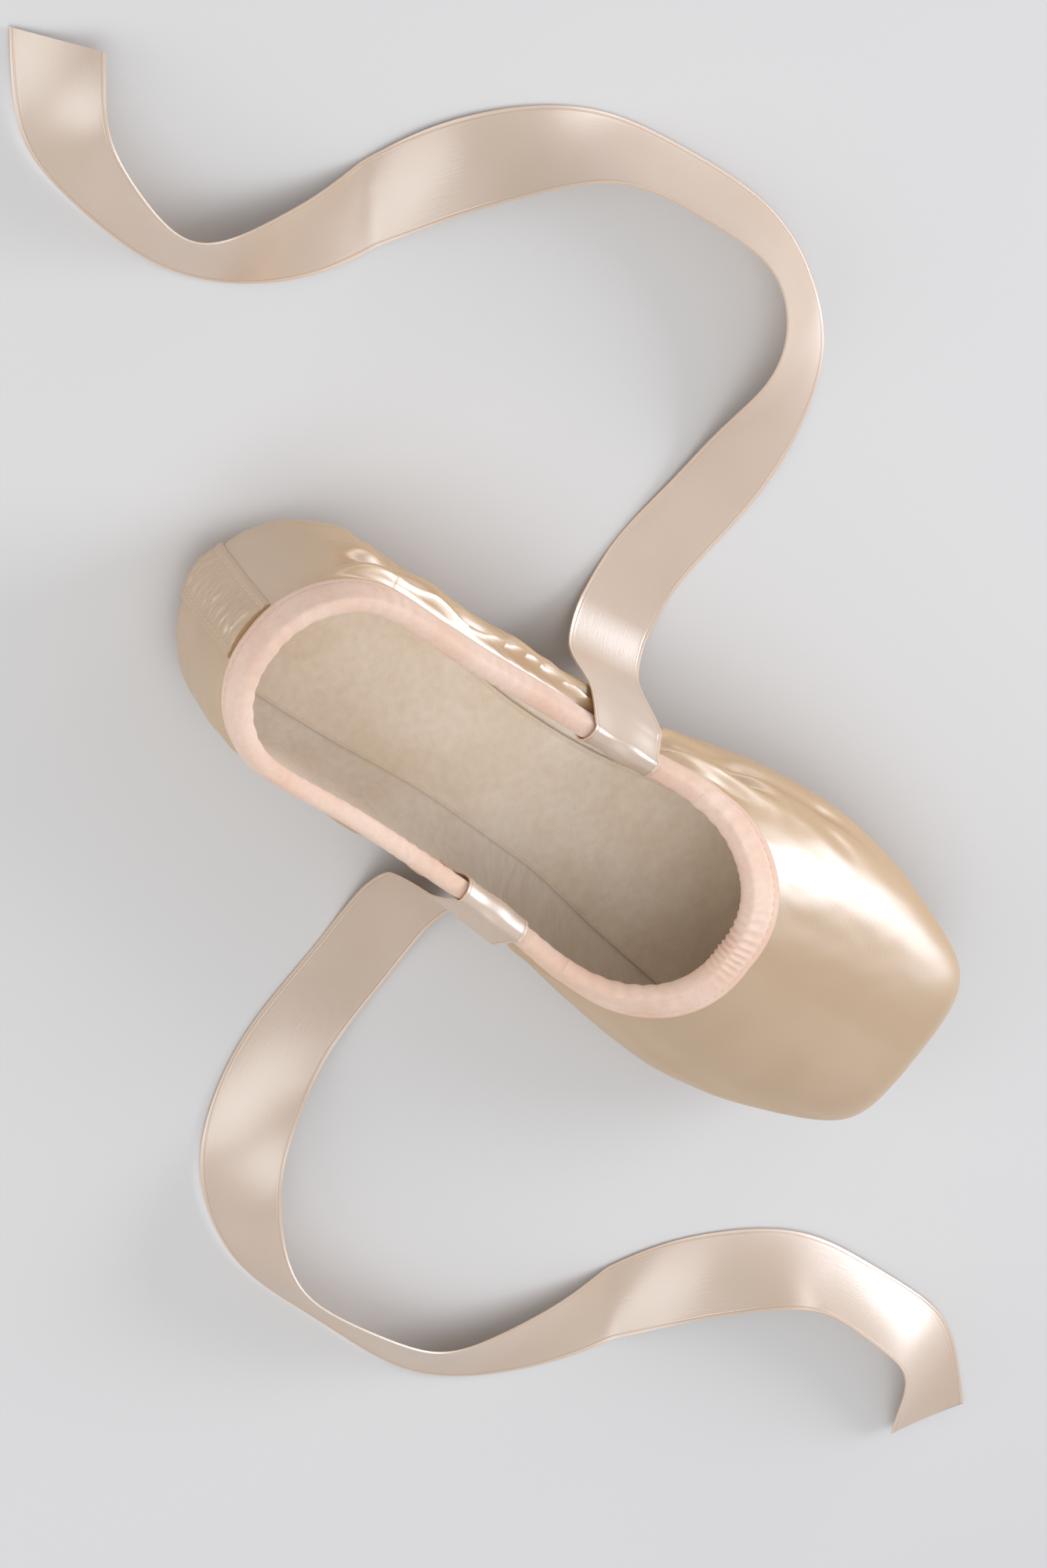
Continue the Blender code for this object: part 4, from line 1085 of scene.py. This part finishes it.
def seam_heights(points):
    """The side seams: a narrow groove with a low ridge behind it, from the tape down to the sole."""
    line = np.linspace(0, 1, 25)
    height = np.zeros(points.shape[:-1])
    for side in (-1, 1):
        path = spots_on_upper(np.full(len(line), side * SEAM_ROUND), line)
        near = (np.abs(points[..., 1] - path[:, 1].mean()) < 0.03) & (points[..., 0] * side > 0)
        away, _ = distance_to_path(points[near], path)
        groove, ridge = np.exp(-((away / 0.0006) ** 2)), np.exp(-(((away - 0.0019) / 0.0012) ** 2))
        height[near] += SEAM_RIDGE * ridge - SEAM_DEPTH * groove
    return height


def wrinkle_heights(girth, past_sole, to_collar, along):
    """Fine wrinkles drawn by the pull of the cloth: they fan up from the sole's waist and hang from the tape.

    Each set is a sharpened sine along the shoe's outline whose phase wanders, inside soft limits.
    """
    wander = 0.0016 * np.sin(girth / 0.0071) + 0.0011 * np.sin(girth / 0.0037 + 1)
    lean = 0.35 * past_sole * np.sign(girth - girth.mean())
    phase = (girth + wander + lean) / WRINKLE_SPACING
    sharp = (0.5 + 0.5 * np.sin(2 * math.pi * phase)) ** 1.7 - 0.36
    reach = 0.014 + 0.007 * np.sin(girth / 0.0093) + 0.003 * np.sin(girth / 0.0041)
    low = smooth_rise(past_sole, 0.0005, 0.004) * (1 - smooth_rise(past_sole, 0.3 * reach, 1.3 * reach))
    waist = smooth_rise(along, 0.13, 0.34) * (1 - smooth_rise(along, 0.62, 0.80)) + 0.25
    height = WRINKLE_HEIGHT * sharp * low * waist
    hung = (0.5 + 0.5 * np.sin(2 * math.pi * (girth + 1.4 * wander) / HUNG_SPACING)) ** 1.5 - 0.4
    below_tape = to_collar - BINDING_WIDTH
    high = smooth_rise(below_tape, 0, 0.002) * np.exp(-np.clip(below_tape, 0, None) / 0.0060)
    side = np.exp(-(((along - SEAM_ROUND) / 0.10) ** 2)) + 0.45 * np.exp(-(((along - 0.30) / 0.12) ** 2))
    return height + HUNG_HEIGHT * hung * high * side


print("a full pleat is", PLEAT_HEIGHT * 1000, "mm high, and wrinkles are", WRINKLE_SPACING * 1000, "mm apart")


# %% Cut and last the upper
OUTSIDE_POINTS = 104
FOLD_STRENGTH = 1.5
UNEVEN = 0.00022

around = rounds(heel=36, side=210, toe=104)
ribs = traced_ribs(around)
weighted, plain = lengths(ribs, BEND_WEIGHT), lengths(ribs)
columns = weighted[:, -1:] * np.linspace(0, 1, OUTSIDE_POINTS)
skin = read_lines(ribs, weighted, columns)
along_rib = np.array([np.interp(want, far, near) for want, far, near in zip(columns, weighted, plain)])
out = outward(skin)
past_sole = along_rib - LASTING_MARGIN
up = past_sole / (plain[:, -1:] - LASTING_MARGIN)
to_collar = plain[:, -1:] - along_rib

girth = run_along(skin[:, OUTSIDE_POINTS // 2], closed=True)
creases = FOLD_STRENGTH * fold_heights(skin)
relief = creases + puff_heights(skin) + seam_heights(skin)
relief += wrinkle_heights(girth[:-1, None], past_sole, to_collar, np.abs(around)[:, None])
quarter = smooth_rise(skin[..., 1], -0.055, -0.01)
relief += UNEVEN * waves(skin, (0.019, 0.013, 0.009, 0.007), 3) * (0.25 + 0.75 * quarter)
pleats = pleat_heights(around, past_sole)
# Nothing lifts the cloth under the tape, the sole or the heel strip
covered = smooth_rise(to_collar, 0.98 * BINDING_WIDTH, 1.3 * BINDING_WIDTH)
covered *= smooth_rise(past_sole, -0.001, 0.004)
at_strip = smooth_rise(np.abs(skin[..., 0]), 0.5 * STRIP_WIDTH, 0.75 * STRIP_WIDTH)
covered *= np.where(skin[..., 1] > HEEL_CENTRE_Y, at_strip, 1)
relief = relief * covered + pleats * smooth_rise(past_sole, -0.001, 0.002)
outside = skin + relief[..., None] * out
print("the cloth stands between", relief.min().round(4), "and", relief.max().round(4), "m off the last")

# %% Line the upper and sew it up
# The lining follows at the wall's thickness, with fewer points and softer folds
INSIDE_POINTS = 26
DEEP_FOLD = 0.0009
picked = np.linspace(OUTSIDE_POINTS - 1, 0, INSIDE_POINTS).round().astype(int)
inner_skin, inner_out = skin[:, picked], out[:, picked]
slack = (relief * np.where(pleats > 1e-5, 0, 0.5))[:, picked]
inside = inner_skin + (slack - wall_at(inner_skin))[..., None] * inner_out

cloth = np.concatenate([outside, inside], 1)
rows, count = cloth.shape[:2]
rise = np.concatenate([along_rib, along_rib[:, -1:] + (along_rib[:, -1:] - along_rib[:, picked])], 1)
rise = np.concatenate([rise, rise[:, -1:] + QUARTER_WALL], 1)
rise = np.concatenate([rise, rise[:1]])
flat_u = np.broadcast_to(girth[:, None], rise.shape)
face_columns = np.tile(np.arange(count), rows)
lining_faces = (face_columns >= OUTSIDE_POINTS - 1).astype(int)
upper = new_piece(
    "satin_upper",
    cloth,
    grid_faces(rows, count, close_rows=True, close_columns=True),
    [peach_satin, cotton_lining],
    grid_uv(flat_u, rise),
    lining_faces,
)
# The troughs of the creases are marked for the satin's painted golden shade
hollow = np.concatenate([np.clip(-creases * covered / DEEP_FOLD, 0, 1), np.zeros(inside.shape[:-1])], 1)
# The sides of the shoe, which turn away from the light, are marked for a painted golden shade, most of all on the
# outer side
turned = smooth_rise(np.abs(out[..., 0]), 0.50, 1.0) * np.where(out[..., 0] > 0, 1.0, 0.6)
mark(upper, "hollow", hollow)
mark(upper, "turned", np.concatenate([turned, np.zeros(inside.shape[:-1])], 1))
close_up(upper, merge=1e-7)
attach(upper, "root")
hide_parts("upper")

# %% [markdown]
# ## The tape round the collar
# A cotton tape is folded over the edge and stitched through, which leaves a channel for a drawstring. Pulling the
# string gathers the tape over the instep: narrow ridges there, slight puckers elsewhere. The tape's outer edge is
# held by a row of small stitches, in a slight dip. A swept profile could make a plain tape. This one is a grid on
# the last's own ribs, so that it leans with the collar and each point of it can be gathered.

# %% Gather the tape
# Places across the tape, in shares of its width from its fold at 0 to its edge at 1, outside and inside the shoe
TAPE_OUTER = np.array([1.0, 0.985, 0.93, 0.87, 0.82, 0.79, 0.77, 0.75, 0.72, 0.65, 0.55, 0.44, 0.32, 0.20, 0.10, 0.0])
TAPE_INNER = np.array([0.0, 0.10, 0.22, 0.34, 0.46, 0.58, 0.68, 0.77, 0.85, 0.93, 1.0])
TAPE_STITCH = 0.77
TAPE_EDGE, TAPE_BODY, TAPE_CHANNEL, TAPE_DIP, TAPE_FOLD = 0.00028, 0.00030, 0.00085, 0.00022, 0.0013
GATHER_MIDDLE, GATHER_HALF = 0.008, 0.015
RIDGE_SPACING, RIDGE_HEIGHT, PUCKER_HEIGHT = 0.0021, 0.00052, 0.00014
HUG = 0.00006


def tape_height(share):
    """How high the tape stands, from its sewn edge (1) to the fold (0): thin, dipped at the stitches, full inside."""
    edge = TAPE_EDGE + TAPE_BODY * smooth_rise(1 - share, 0.0, 0.05)
    channel = TAPE_CHANNEL * smooth_rise(1 - share, 0.18, 0.45)
    dip = -TAPE_DIP * np.exp(-(((share - TAPE_STITCH) / 0.035) ** 2))
    return edge + channel + dip


tape_around = rounds(heel=60, side=150, toe=240)
tape_ribs = traced_ribs(tape_around)
tape_far = lengths(tape_ribs)
tape_run = run_along(tape_ribs[:, -1], closed=True)
throat_at = tape_run[:-1][np.argmax(np.abs(tape_around))]
from_throat = tape_run[:-1] - throat_at
gathered = np.exp(-(((from_throat - GATHER_MIDDLE) / GATHER_HALF) ** 4))
# Ridges of uneven spacing: a sine whose phase wanders, about 2 mm from one to the next
wander = from_throat / RIDGE_SPACING + 0.32 * np.sin(from_throat / 0.0027) + 0.3 * np.sin(from_throat / 0.0083)
ridge = (0.5 + 0.5 * np.sin(2 * math.pi * wander)) ** 1.4 - 0.4
ridge *= 0.65 + 0.45 * np.sin(from_throat / 0.0041 + 1)
pucker = np.sin(tape_run[:-1] / 0.00071 + 1.5 * np.sin(tape_run[:-1] / 0.0067)) * np.sin(tape_run[:-1] / 0.011)
outer_at = read_lines(tape_ribs, tape_far, tape_far[:, -1:] - BINDING_WIDTH * TAPE_OUTER)
inner_at = read_lines(tape_ribs, tape_far, tape_far[:, -1:] - BINDING_WIDTH * TAPE_INNER)
outer_out, inner_out = outward(outer_at), outward(inner_at)
inner_face = inner_at - wall_at(inner_at)[..., None] * inner_out
over = unit(outer_at[:, -1] - outer_at[:, -3])


def tape_relief(share):
    """The gathers and puckers across the tape: none at its sewn edge, strongest from the stitches to the fold."""
    strength = smooth_rise(1 - share, 0.22, 0.75)
    return (RIDGE_HEIGHT * ridge * gathered + PUCKER_HEIGHT * pucker * (1 - gathered))[:, None] * strength


print(f"the tape is {tape_run[-1] * 1000:.0f} mm long, gathered over {2 * GATHER_HALF * 1000:.0f} mm")

# %% Fold the tape over the edge
outer_high = tape_height(TAPE_OUTER) + tape_relief(TAPE_OUTER)
inner_high = tape_height(TAPE_INNER) + tape_relief(TAPE_INNER)
tape_outer = outer_at + outer_high[..., None] * outer_out
tape_inner = inner_face - inner_high[..., None] * inner_out
turn = np.linspace(0, math.pi, 11)[1:-1]
rim_middle = (tape_outer[:, -1] + tape_inner[:, 0]) / 2
rim_half = (tape_outer[:, -1] - tape_inner[:, 0]) / 2
rim_high = TAPE_FOLD + tape_relief(np.zeros(1))[:, 0]
tape_rim = (
    rim_middle[:, None]
    + rim_half[:, None] * np.cos(turn)[:, None]
    + (rim_high[:, None] * np.sin(turn))[..., None] * over[:, None]
)
# Its underside hugs the lining and the satin
under_inner = (inner_face - HUG * inner_out)[:, ::-2]
under_outer = (outer_at + HUG * outer_out)[:, ::-2]
tape_loop = np.concatenate([tape_outer, tape_rim, tape_inner, under_inner, under_outer], 1)
across_tape = np.linalg.norm(np.diff(tape_loop, axis=1, append=tape_loop[:, :1]), axis=-1)
across_tape = np.concatenate([np.zeros((len(tape_loop), 1)), np.cumsum(across_tape, 1)], 1)
across_tape = np.concatenate([across_tape, across_tape[:1]])
tape = new_piece(
    "collar_tape",
    tape_loop,
    grid_faces(*tape_loop.shape[:2], close_rows=True, close_columns=True),
    [cotton_tape],
    grid_uv(np.broadcast_to(tape_run[:, None], across_tape.shape), across_tape),
)
close_up(tape, merge=1e-7)
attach(tape, "root")
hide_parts("collar_binding")


# %% [markdown]
# ## Stitches
# A stitch is a short bar of thread that dives into the cloth at both ends. A bump could draw it, but these catch
# the light on the tape and the sole, so they are real bars. There are hundreds, so each has only six sides.

# %% A row of stitches
Stitch = namedtuple("Stitch", "length gap thickness thread slot")
TAPE_SEWING = Stitch(0.0015, 0.0008, 0.00042, sewing_thread, "tape")
FINE_SEWING = Stitch(0.0015, 0.0008, 0.00036, sewing_thread, "satin")
SEAM_SEWING = Stitch(0.0016, 0.0008, 0.00036, sewing_thread, "satin")
SOLE_SEWING = Stitch(0.0026, 0.0012, 0.00045, dark_thread, "leather")


def stitch_row(name, path, normals, stitch):
    """Small rounded stitches in a row along a path: every one a short six-sided bar that narrows into the cloth."""
    far = run_along(path)
    starts = np.arange(stitch.gap / 2, far[-1] - stitch.length, stitch.length + stitch.gap)
    shares = np.array([-0.5, -0.38, -0.15, 0.15, 0.38, 0.5])
    full = np.array([0.35, 0.85, 1.0, 1.0, 0.85, 0.35])
    sink = np.array([-0.55, -0.05, 0.15, 0.15, -0.05, -0.55]) * stitch.thickness
    at = starts[:, None] + stitch.length / 2 + shares * stitch.length
    centre = read_along(at, far, path)
    normal = unit(read_along(at, far, normals))
    ahead = unit(np.gradient(centre, axis=1))
    side = unit(np.cross(ahead, normal))
    angle = np.linspace(0, 2 * math.pi, 7)[:-1]
    ring = np.cos(angle)[:, None] * side[:, :, None] + np.sin(angle)[:, None] * normal[:, :, None]
    ring *= (stitch.thickness / 2 * full)[:, None, None]
    points = centre[:, :, None] + sink[:, None, None] * normal[:, :, None] + ring
    one = grid_faces(6, 6, close_columns=True)
    first, last = np.arange(6), np.arange(6) + 30
    caps = np.array([first[[0, 1, 2, 3]], first[[0, 3, 4, 5]], last[[3, 2, 1, 0]], last[[5, 4, 3, 0]]])
    one = np.concatenate([one, caps])
    faces = (one[None] + 36 * np.arange(len(starts))[:, None, None]).reshape(-1, 4)
    row = new_piece(name, points, faces, [stitch.thread], sharp=70)
    close_up(row, merge=1e-8, sharp=70)
    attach(row, "root")


tape_closed = np.r_[np.arange(len(tape_around)), 0]
sewn_at = int(np.argmin(np.abs(TAPE_OUTER - TAPE_STITCH)))
stitch_row("tape_stitches", tape_outer[tape_closed, sewn_at], outer_out[tape_closed, sewn_at], TAPE_SEWING)
stitch_row("ribbon_stitches_outer", *box_out, FINE_SEWING)
stitch_row("ribbon_stitches_inner", *box_in, FINE_SEWING)

# %% Two rows beside each side seam
SEAM_ROWS = (("", 0.013), ("_2", 0.0195))
SEAM_LIFT = 0.00025
seam_up = np.linspace(0.03, 0.84, 60)
for side, name in ((1, "outer_seam_stitches"), (-1, "inner_seam_stitches")):
    for ending, offset in SEAM_ROWS:
        path = spots_on_upper(np.full(len(seam_up), side * (SEAM_ROUND - offset)), seam_up)
        stitch_row(name + ending, path + SEAM_LIFT * outward(path), outward(path), SEAM_SEWING)

# %% [markdown]
# ## The strip down the heel
# A folded strip of the same satin covers the back seam. It is stitched down along both edges, and between them it
# puckers into short bright dents. It is cast level against the last from the heel's middle, so that its edges stay
# straight while it follows the heel's curve.

# %% Sew the heel strip
STRIP_COLUMNS, STRIP_ROWS = 41, 121
STRIP_EDGE, STRIP_BODY, STRIP_DIP, STRIP_FULL, STRIP_CRUMPLE = 0.00035, 0.00055, 0.00030, 0.0003, 0.00045
STRIP_STITCH = 0.0021
STRIP_LENGTH = 0.045
HUG_STRIP = 0.0001
under_tape = collar_points(np.linspace(-HEEL_TURN, HEEL_TURN, 81), BINDING_WIDTH + 2 * SEAT_GAP)
strip_x = np.linspace(-STRIP_WIDTH / 2, STRIP_WIDTH / 2, STRIP_COLUMNS)
strip_top = np.interp(strip_x, under_tape[:, 0], under_tape[:, 2])
strip_rise = np.linspace(0, 1, STRIP_ROWS)[:, None]
strip_z = STRIP_FOOT + strip_rise * (strip_top - STRIP_FOOT)
strip_start = np.stack([np.broadcast_to(strip_x, strip_z.shape), np.full(strip_z.shape, HEEL_CENTRE_Y), strip_z], -1)
strip_skin = cast(strip_start, np.broadcast_to([0.0, 1.0, 0.0], strip_start.shape))
strip_out = outward(strip_skin)
from_edge = STRIP_WIDTH / 2 - np.abs(strip_x)
stand = STRIP_EDGE + STRIP_BODY * smooth_rise(from_edge, 0, 0.0010)
stand = stand - STRIP_DIP * np.exp(-(((from_edge - STRIP_STITCH) / 0.0006) ** 2))
crumple = waves(strip_skin * np.array([1.0, 1.0, 2.2]), (0.010, 0.0065, 0.0048), 11)
stand = stand + STRIP_CRUMPLE * crumple * smooth_rise(from_edge, 0.002, 0.005)
stand = stand + STRIP_FULL * smooth_rise(from_edge, 0.002, 0.006)
strip_face = strip_skin + stand[..., None] * strip_out
strip_back = strip_skin + HUG_STRIP * strip_out
strip_loop = np.concatenate([strip_face, strip_back[:, ::-1]], 1)
strip_u = np.broadcast_to(np.r_[strip_x, strip_x[::-1], strip_x[:1]], (STRIP_ROWS, 2 * STRIP_COLUMNS + 1))
strip_v = np.broadcast_to(strip_rise * STRIP_LENGTH, strip_u.shape)
strip_ends = end_faces(STRIP_COLUMNS, STRIP_ROWS)
strip_faces = np.concatenate([grid_faces(*strip_loop.shape[:2], close_columns=True), strip_ends])
strip_uv = np.concatenate([grid_uv(strip_v, strip_u), np.zeros((4 * len(strip_ends), 2))])
strip = new_piece("satin_heel_strip", strip_loop, strip_faces, [peach_satin], strip_uv)
close_up(strip, merge=1e-7)
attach(strip, "root")
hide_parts("heel_strip")
for side, name in ((1, "strip_stitches_outer"), (-1, "strip_stitches_inner")):
    at = int(np.argmin(np.abs(strip_x - side * (STRIP_WIDTH / 2 - STRIP_STITCH))))
    stitch_row(name, strip_face[2:-2, at], strip_out[2:-2, at], FINE_SEWING)

# %% [markdown]
# ## The sole
# One piece of buff leather, thinned to its edge and sewn through close to it. A flat plate with a bevel would miss
# that thinning. So its top is the last's own underside, and its tread is drawn in plan from the centreline out.

# %% Cut the sole
CHANNEL_IN, CHANNEL_HALF, CHANNEL_DEPTH = 0.0020, 0.00042, 0.00030
EDGE_BULGE = 0.00025


def plan_grid(around, reach, shares):
    """Spots in plan from the sole's centreline out to a reach, station by station."""
    low = spine(around, "sole")[:, None]
    return low + (reach[:, None] * shares)[..., None] * headings(around)[:, None]


sole_around = rounds(heel=30, side=90, toe=60)
sole_reach = from_table(STATIONS, np.abs(sole_around), "sole_reach")
sole_shares = np.concatenate([np.linspace(0, 0.7, 26)[:-1], np.linspace(0.7, 0.985, 34), [1.0]])
spots = plan_grid(sole_around, sole_reach, sole_shares)
on_last = underside_at(spots)
sole_top = on_last + SEAT_GAP * outward(on_last)
sole_along = (HEEL_Y - spots[..., 1]) / BODY_LENGTH
flat_height = from_table(SECTIONS, sole_along, "underside") - SEAT
to_edge = smooth_rise(sole_shares, 0.60, 1)
from_rim = sole_reach[:, None] * (1 - sole_shares)
sole_bottom = sole_top.copy()
sole_bottom[..., 2] = flat_height + (sole_top[..., 2] - SOLE_EDGE - flat_height) * to_edge
# A channel for the stitches is cut beside the edge, and the edge itself is rounded over
channel = np.exp(-(((from_rim - CHANNEL_IN) / CHANNEL_HALF) ** 2))
sole_bottom[..., 2] += CHANNEL_DEPTH * channel + 0.0006 * np.exp(-((from_rim / 0.0005) ** 2))
edge_out = headings(sole_around)[:, None]
bulge = np.array([0.30, 0.5, 0.75])
edge_rings = sole_bottom[:, -1:] + (sole_top[:, -1:] - sole_bottom[:, -1:]) * bulge[:, None]
edge_rings = edge_rings + EDGE_BULGE * edge_out * np.sin(math.pi * bulge)[:, None]
top_pick = np.linspace(len(sole_shares) - 1, 0, 14).round().astype(int)
sole_loop = np.concatenate([sole_bottom, edge_rings, sole_top[:, top_pick]], 1)

sole = new_piece("leather_sole", sole_loop, grid_faces(*sole_loop.shape[:2], close_rows=True), [sole_leather])
# The stitch channel is darkened with painted shade, and rubbing darkens the rim and the cut edge
channel_shade_and_rubbed_edge = np.zeros(sole_loop.shape[:-1])
channel_shade_and_rubbed_edge[:, : len(sole_shares)] = np.maximum(channel, np.exp(-((from_rim / 0.0008) ** 2)))
channel_shade_and_rubbed_edge[:, len(sole_shares) :] = 1.0
mark(sole, "edge", channel_shade_and_rubbed_edge)
close_up(sole, merge=1e-6)
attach(sole, "root")
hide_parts("outsole")
sole_closed = np.r_[np.arange(len(sole_around)), 0]
groove = int(np.argmin(np.abs(from_rim - CHANNEL_IN).mean(0)))
downwards = np.broadcast_to([0.0, 0.0, -1.0], (len(sole_closed), 3))
stitch_row("sole_stitches", sole_bottom[sole_closed, groove], downwards, SOLE_SEWING)

# %% [markdown]
# ## The insole
# A thin cotton sock lies on the turned-in edges of the upper. It is what the foot touches, and it shows through
# the open collar. It is drawn in plan like the sole, one wall's thickness inside the last, with a few soft dents.

# %% Lay the insole
SOCK_COLUMNS = 40
SOCK_DENTS = 0.00018
sock_around = rounds(heel=24, side=70, toe=40)
sock_reach = from_table(STATIONS, np.abs(sock_around), "sole_reach") + INSOLE_SPREAD
toe_reach = SOLE_FAN_Y - (TOE_Y + INSOLE_TOE_GAP)
sock_reach += (toe_reach - sock_reach) * smooth_rise(np.abs(sock_around), TOE_TURN, 1)
sock_shares = np.concatenate([np.linspace(0, 0.9, SOCK_COLUMNS - 8), np.linspace(0.92, 1.0, 8)])
sock_last = underside_at(plan_grid(sock_around, sock_reach, sock_shares))
sock_in = -outward(sock_last)
sock_seat = wall_at(sock_last)[..., None] + SEAT_GAP
dent = SOCK_DENTS * waves(sock_last, (0.021, 0.014, 0.009), 5)[..., None]
sock_rim = smooth_rise(sock_reach[:, None] * (1 - sock_shares), 0, 0.0012)[..., None]
sock_high = sock_seat + INSOLE_THICKNESS * (0.55 + 0.45 * sock_rim) + dent * sock_rim
sock_face = sock_last + sock_high * sock_in
sock_back = sock_last + sock_seat * sock_in
pick = np.linspace(SOCK_COLUMNS - 1, 0, 10).round().astype(int)
sock_loop = np.concatenate([sock_face, sock_back[:, pick]], 1)
# The sock is cut flat, so its cloth follows the plan
sock_plan = np.concatenate([sock_loop, sock_loop[:1]])
sock_uv = grid_uv(sock_plan[..., 0], sock_plan[..., 1])
sock = new_piece(
    "cotton_insole", sock_loop, grid_faces(*sock_loop.shape[:2], close_rows=True), [sock_cotton], sock_uv
)
close_up(sock, merge=1e-6)
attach(sock, "root")
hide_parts("insole")

# %% [markdown]
# ## Floor and light
# A plain pale floor and four soft lights. One beyond the toe on the outer side, low, draws the long gleam from the
# wing to the platform, and a small one brightens the outer edge. These two shine in narrow fans, as through a
# grid, so that they don't flood the floor under them. A wide one above fills the rest, and a weak one stands behind.

# %% Set the floor and the lights
FLOOR_SIZE = 6
floor_material, _ = new_material("pale grey floor", Roughness=0.85, Base_Color=linear("#DEDEDE"))
corners = np.array([[-1, -1, 0], [1, -1, 0], [1, 1, 0], [-1, 1, 0]]) * FLOOR_SIZE / 2
floor = new_piece("floor", corners, np.array([[0, 1, 2, 3]]), [floor_material])


def soft_light(name, direction, distance, size, power, colour="#FFFFFF", fan=180):
    """A square soft light at a direction and distance from the shoe, turned towards it, with its fan in degrees."""
    data = bpy.data.lights.new(name, "AREA")
    data.size, data.energy, data.color = size, power, linear(colour)[:3]
    data.spread = math.radians(fan)
    light = bpy.data.objects.new(name, data)
    light.location = Vector(unit(np.array(direction, float)) * distance)
    light.rotation_mode = "QUATERNION"
    light.rotation_quaternion = Vector(direction).to_track_quat("Z", "Y")
    bpy.context.scene.collection.objects.link(light)


soft_light("gleam beyond the toe", (0.71, -0.66, 0.34), 1.2, 0.68, 1.4, "#F6F8FF", fan=64)
soft_light("edge light on the outer side", (1.0, 0.05, 0.16), 1.2, 0.3, 0.15, "#FFFAF8", fan=58)
soft_light("wide light above", (-0.25, 0.15, 1.0), 1.8, 1.5, 10.0)
soft_light("weak light behind", (-0.5, 0.85, 0.5), 1.5, 0.9, 4.0)
world = bpy.data.worlds.new("studio")
world.use_nodes = True
background = world.node_tree.nodes["Background"]
background.inputs["Color"].default_value = linear("#F4F4F6")
background.inputs["Strength"].default_value = 0.55
bpy.context.scene.world = world
print("lights:", ", ".join(sorted(light.name for light in bpy.data.lights)))
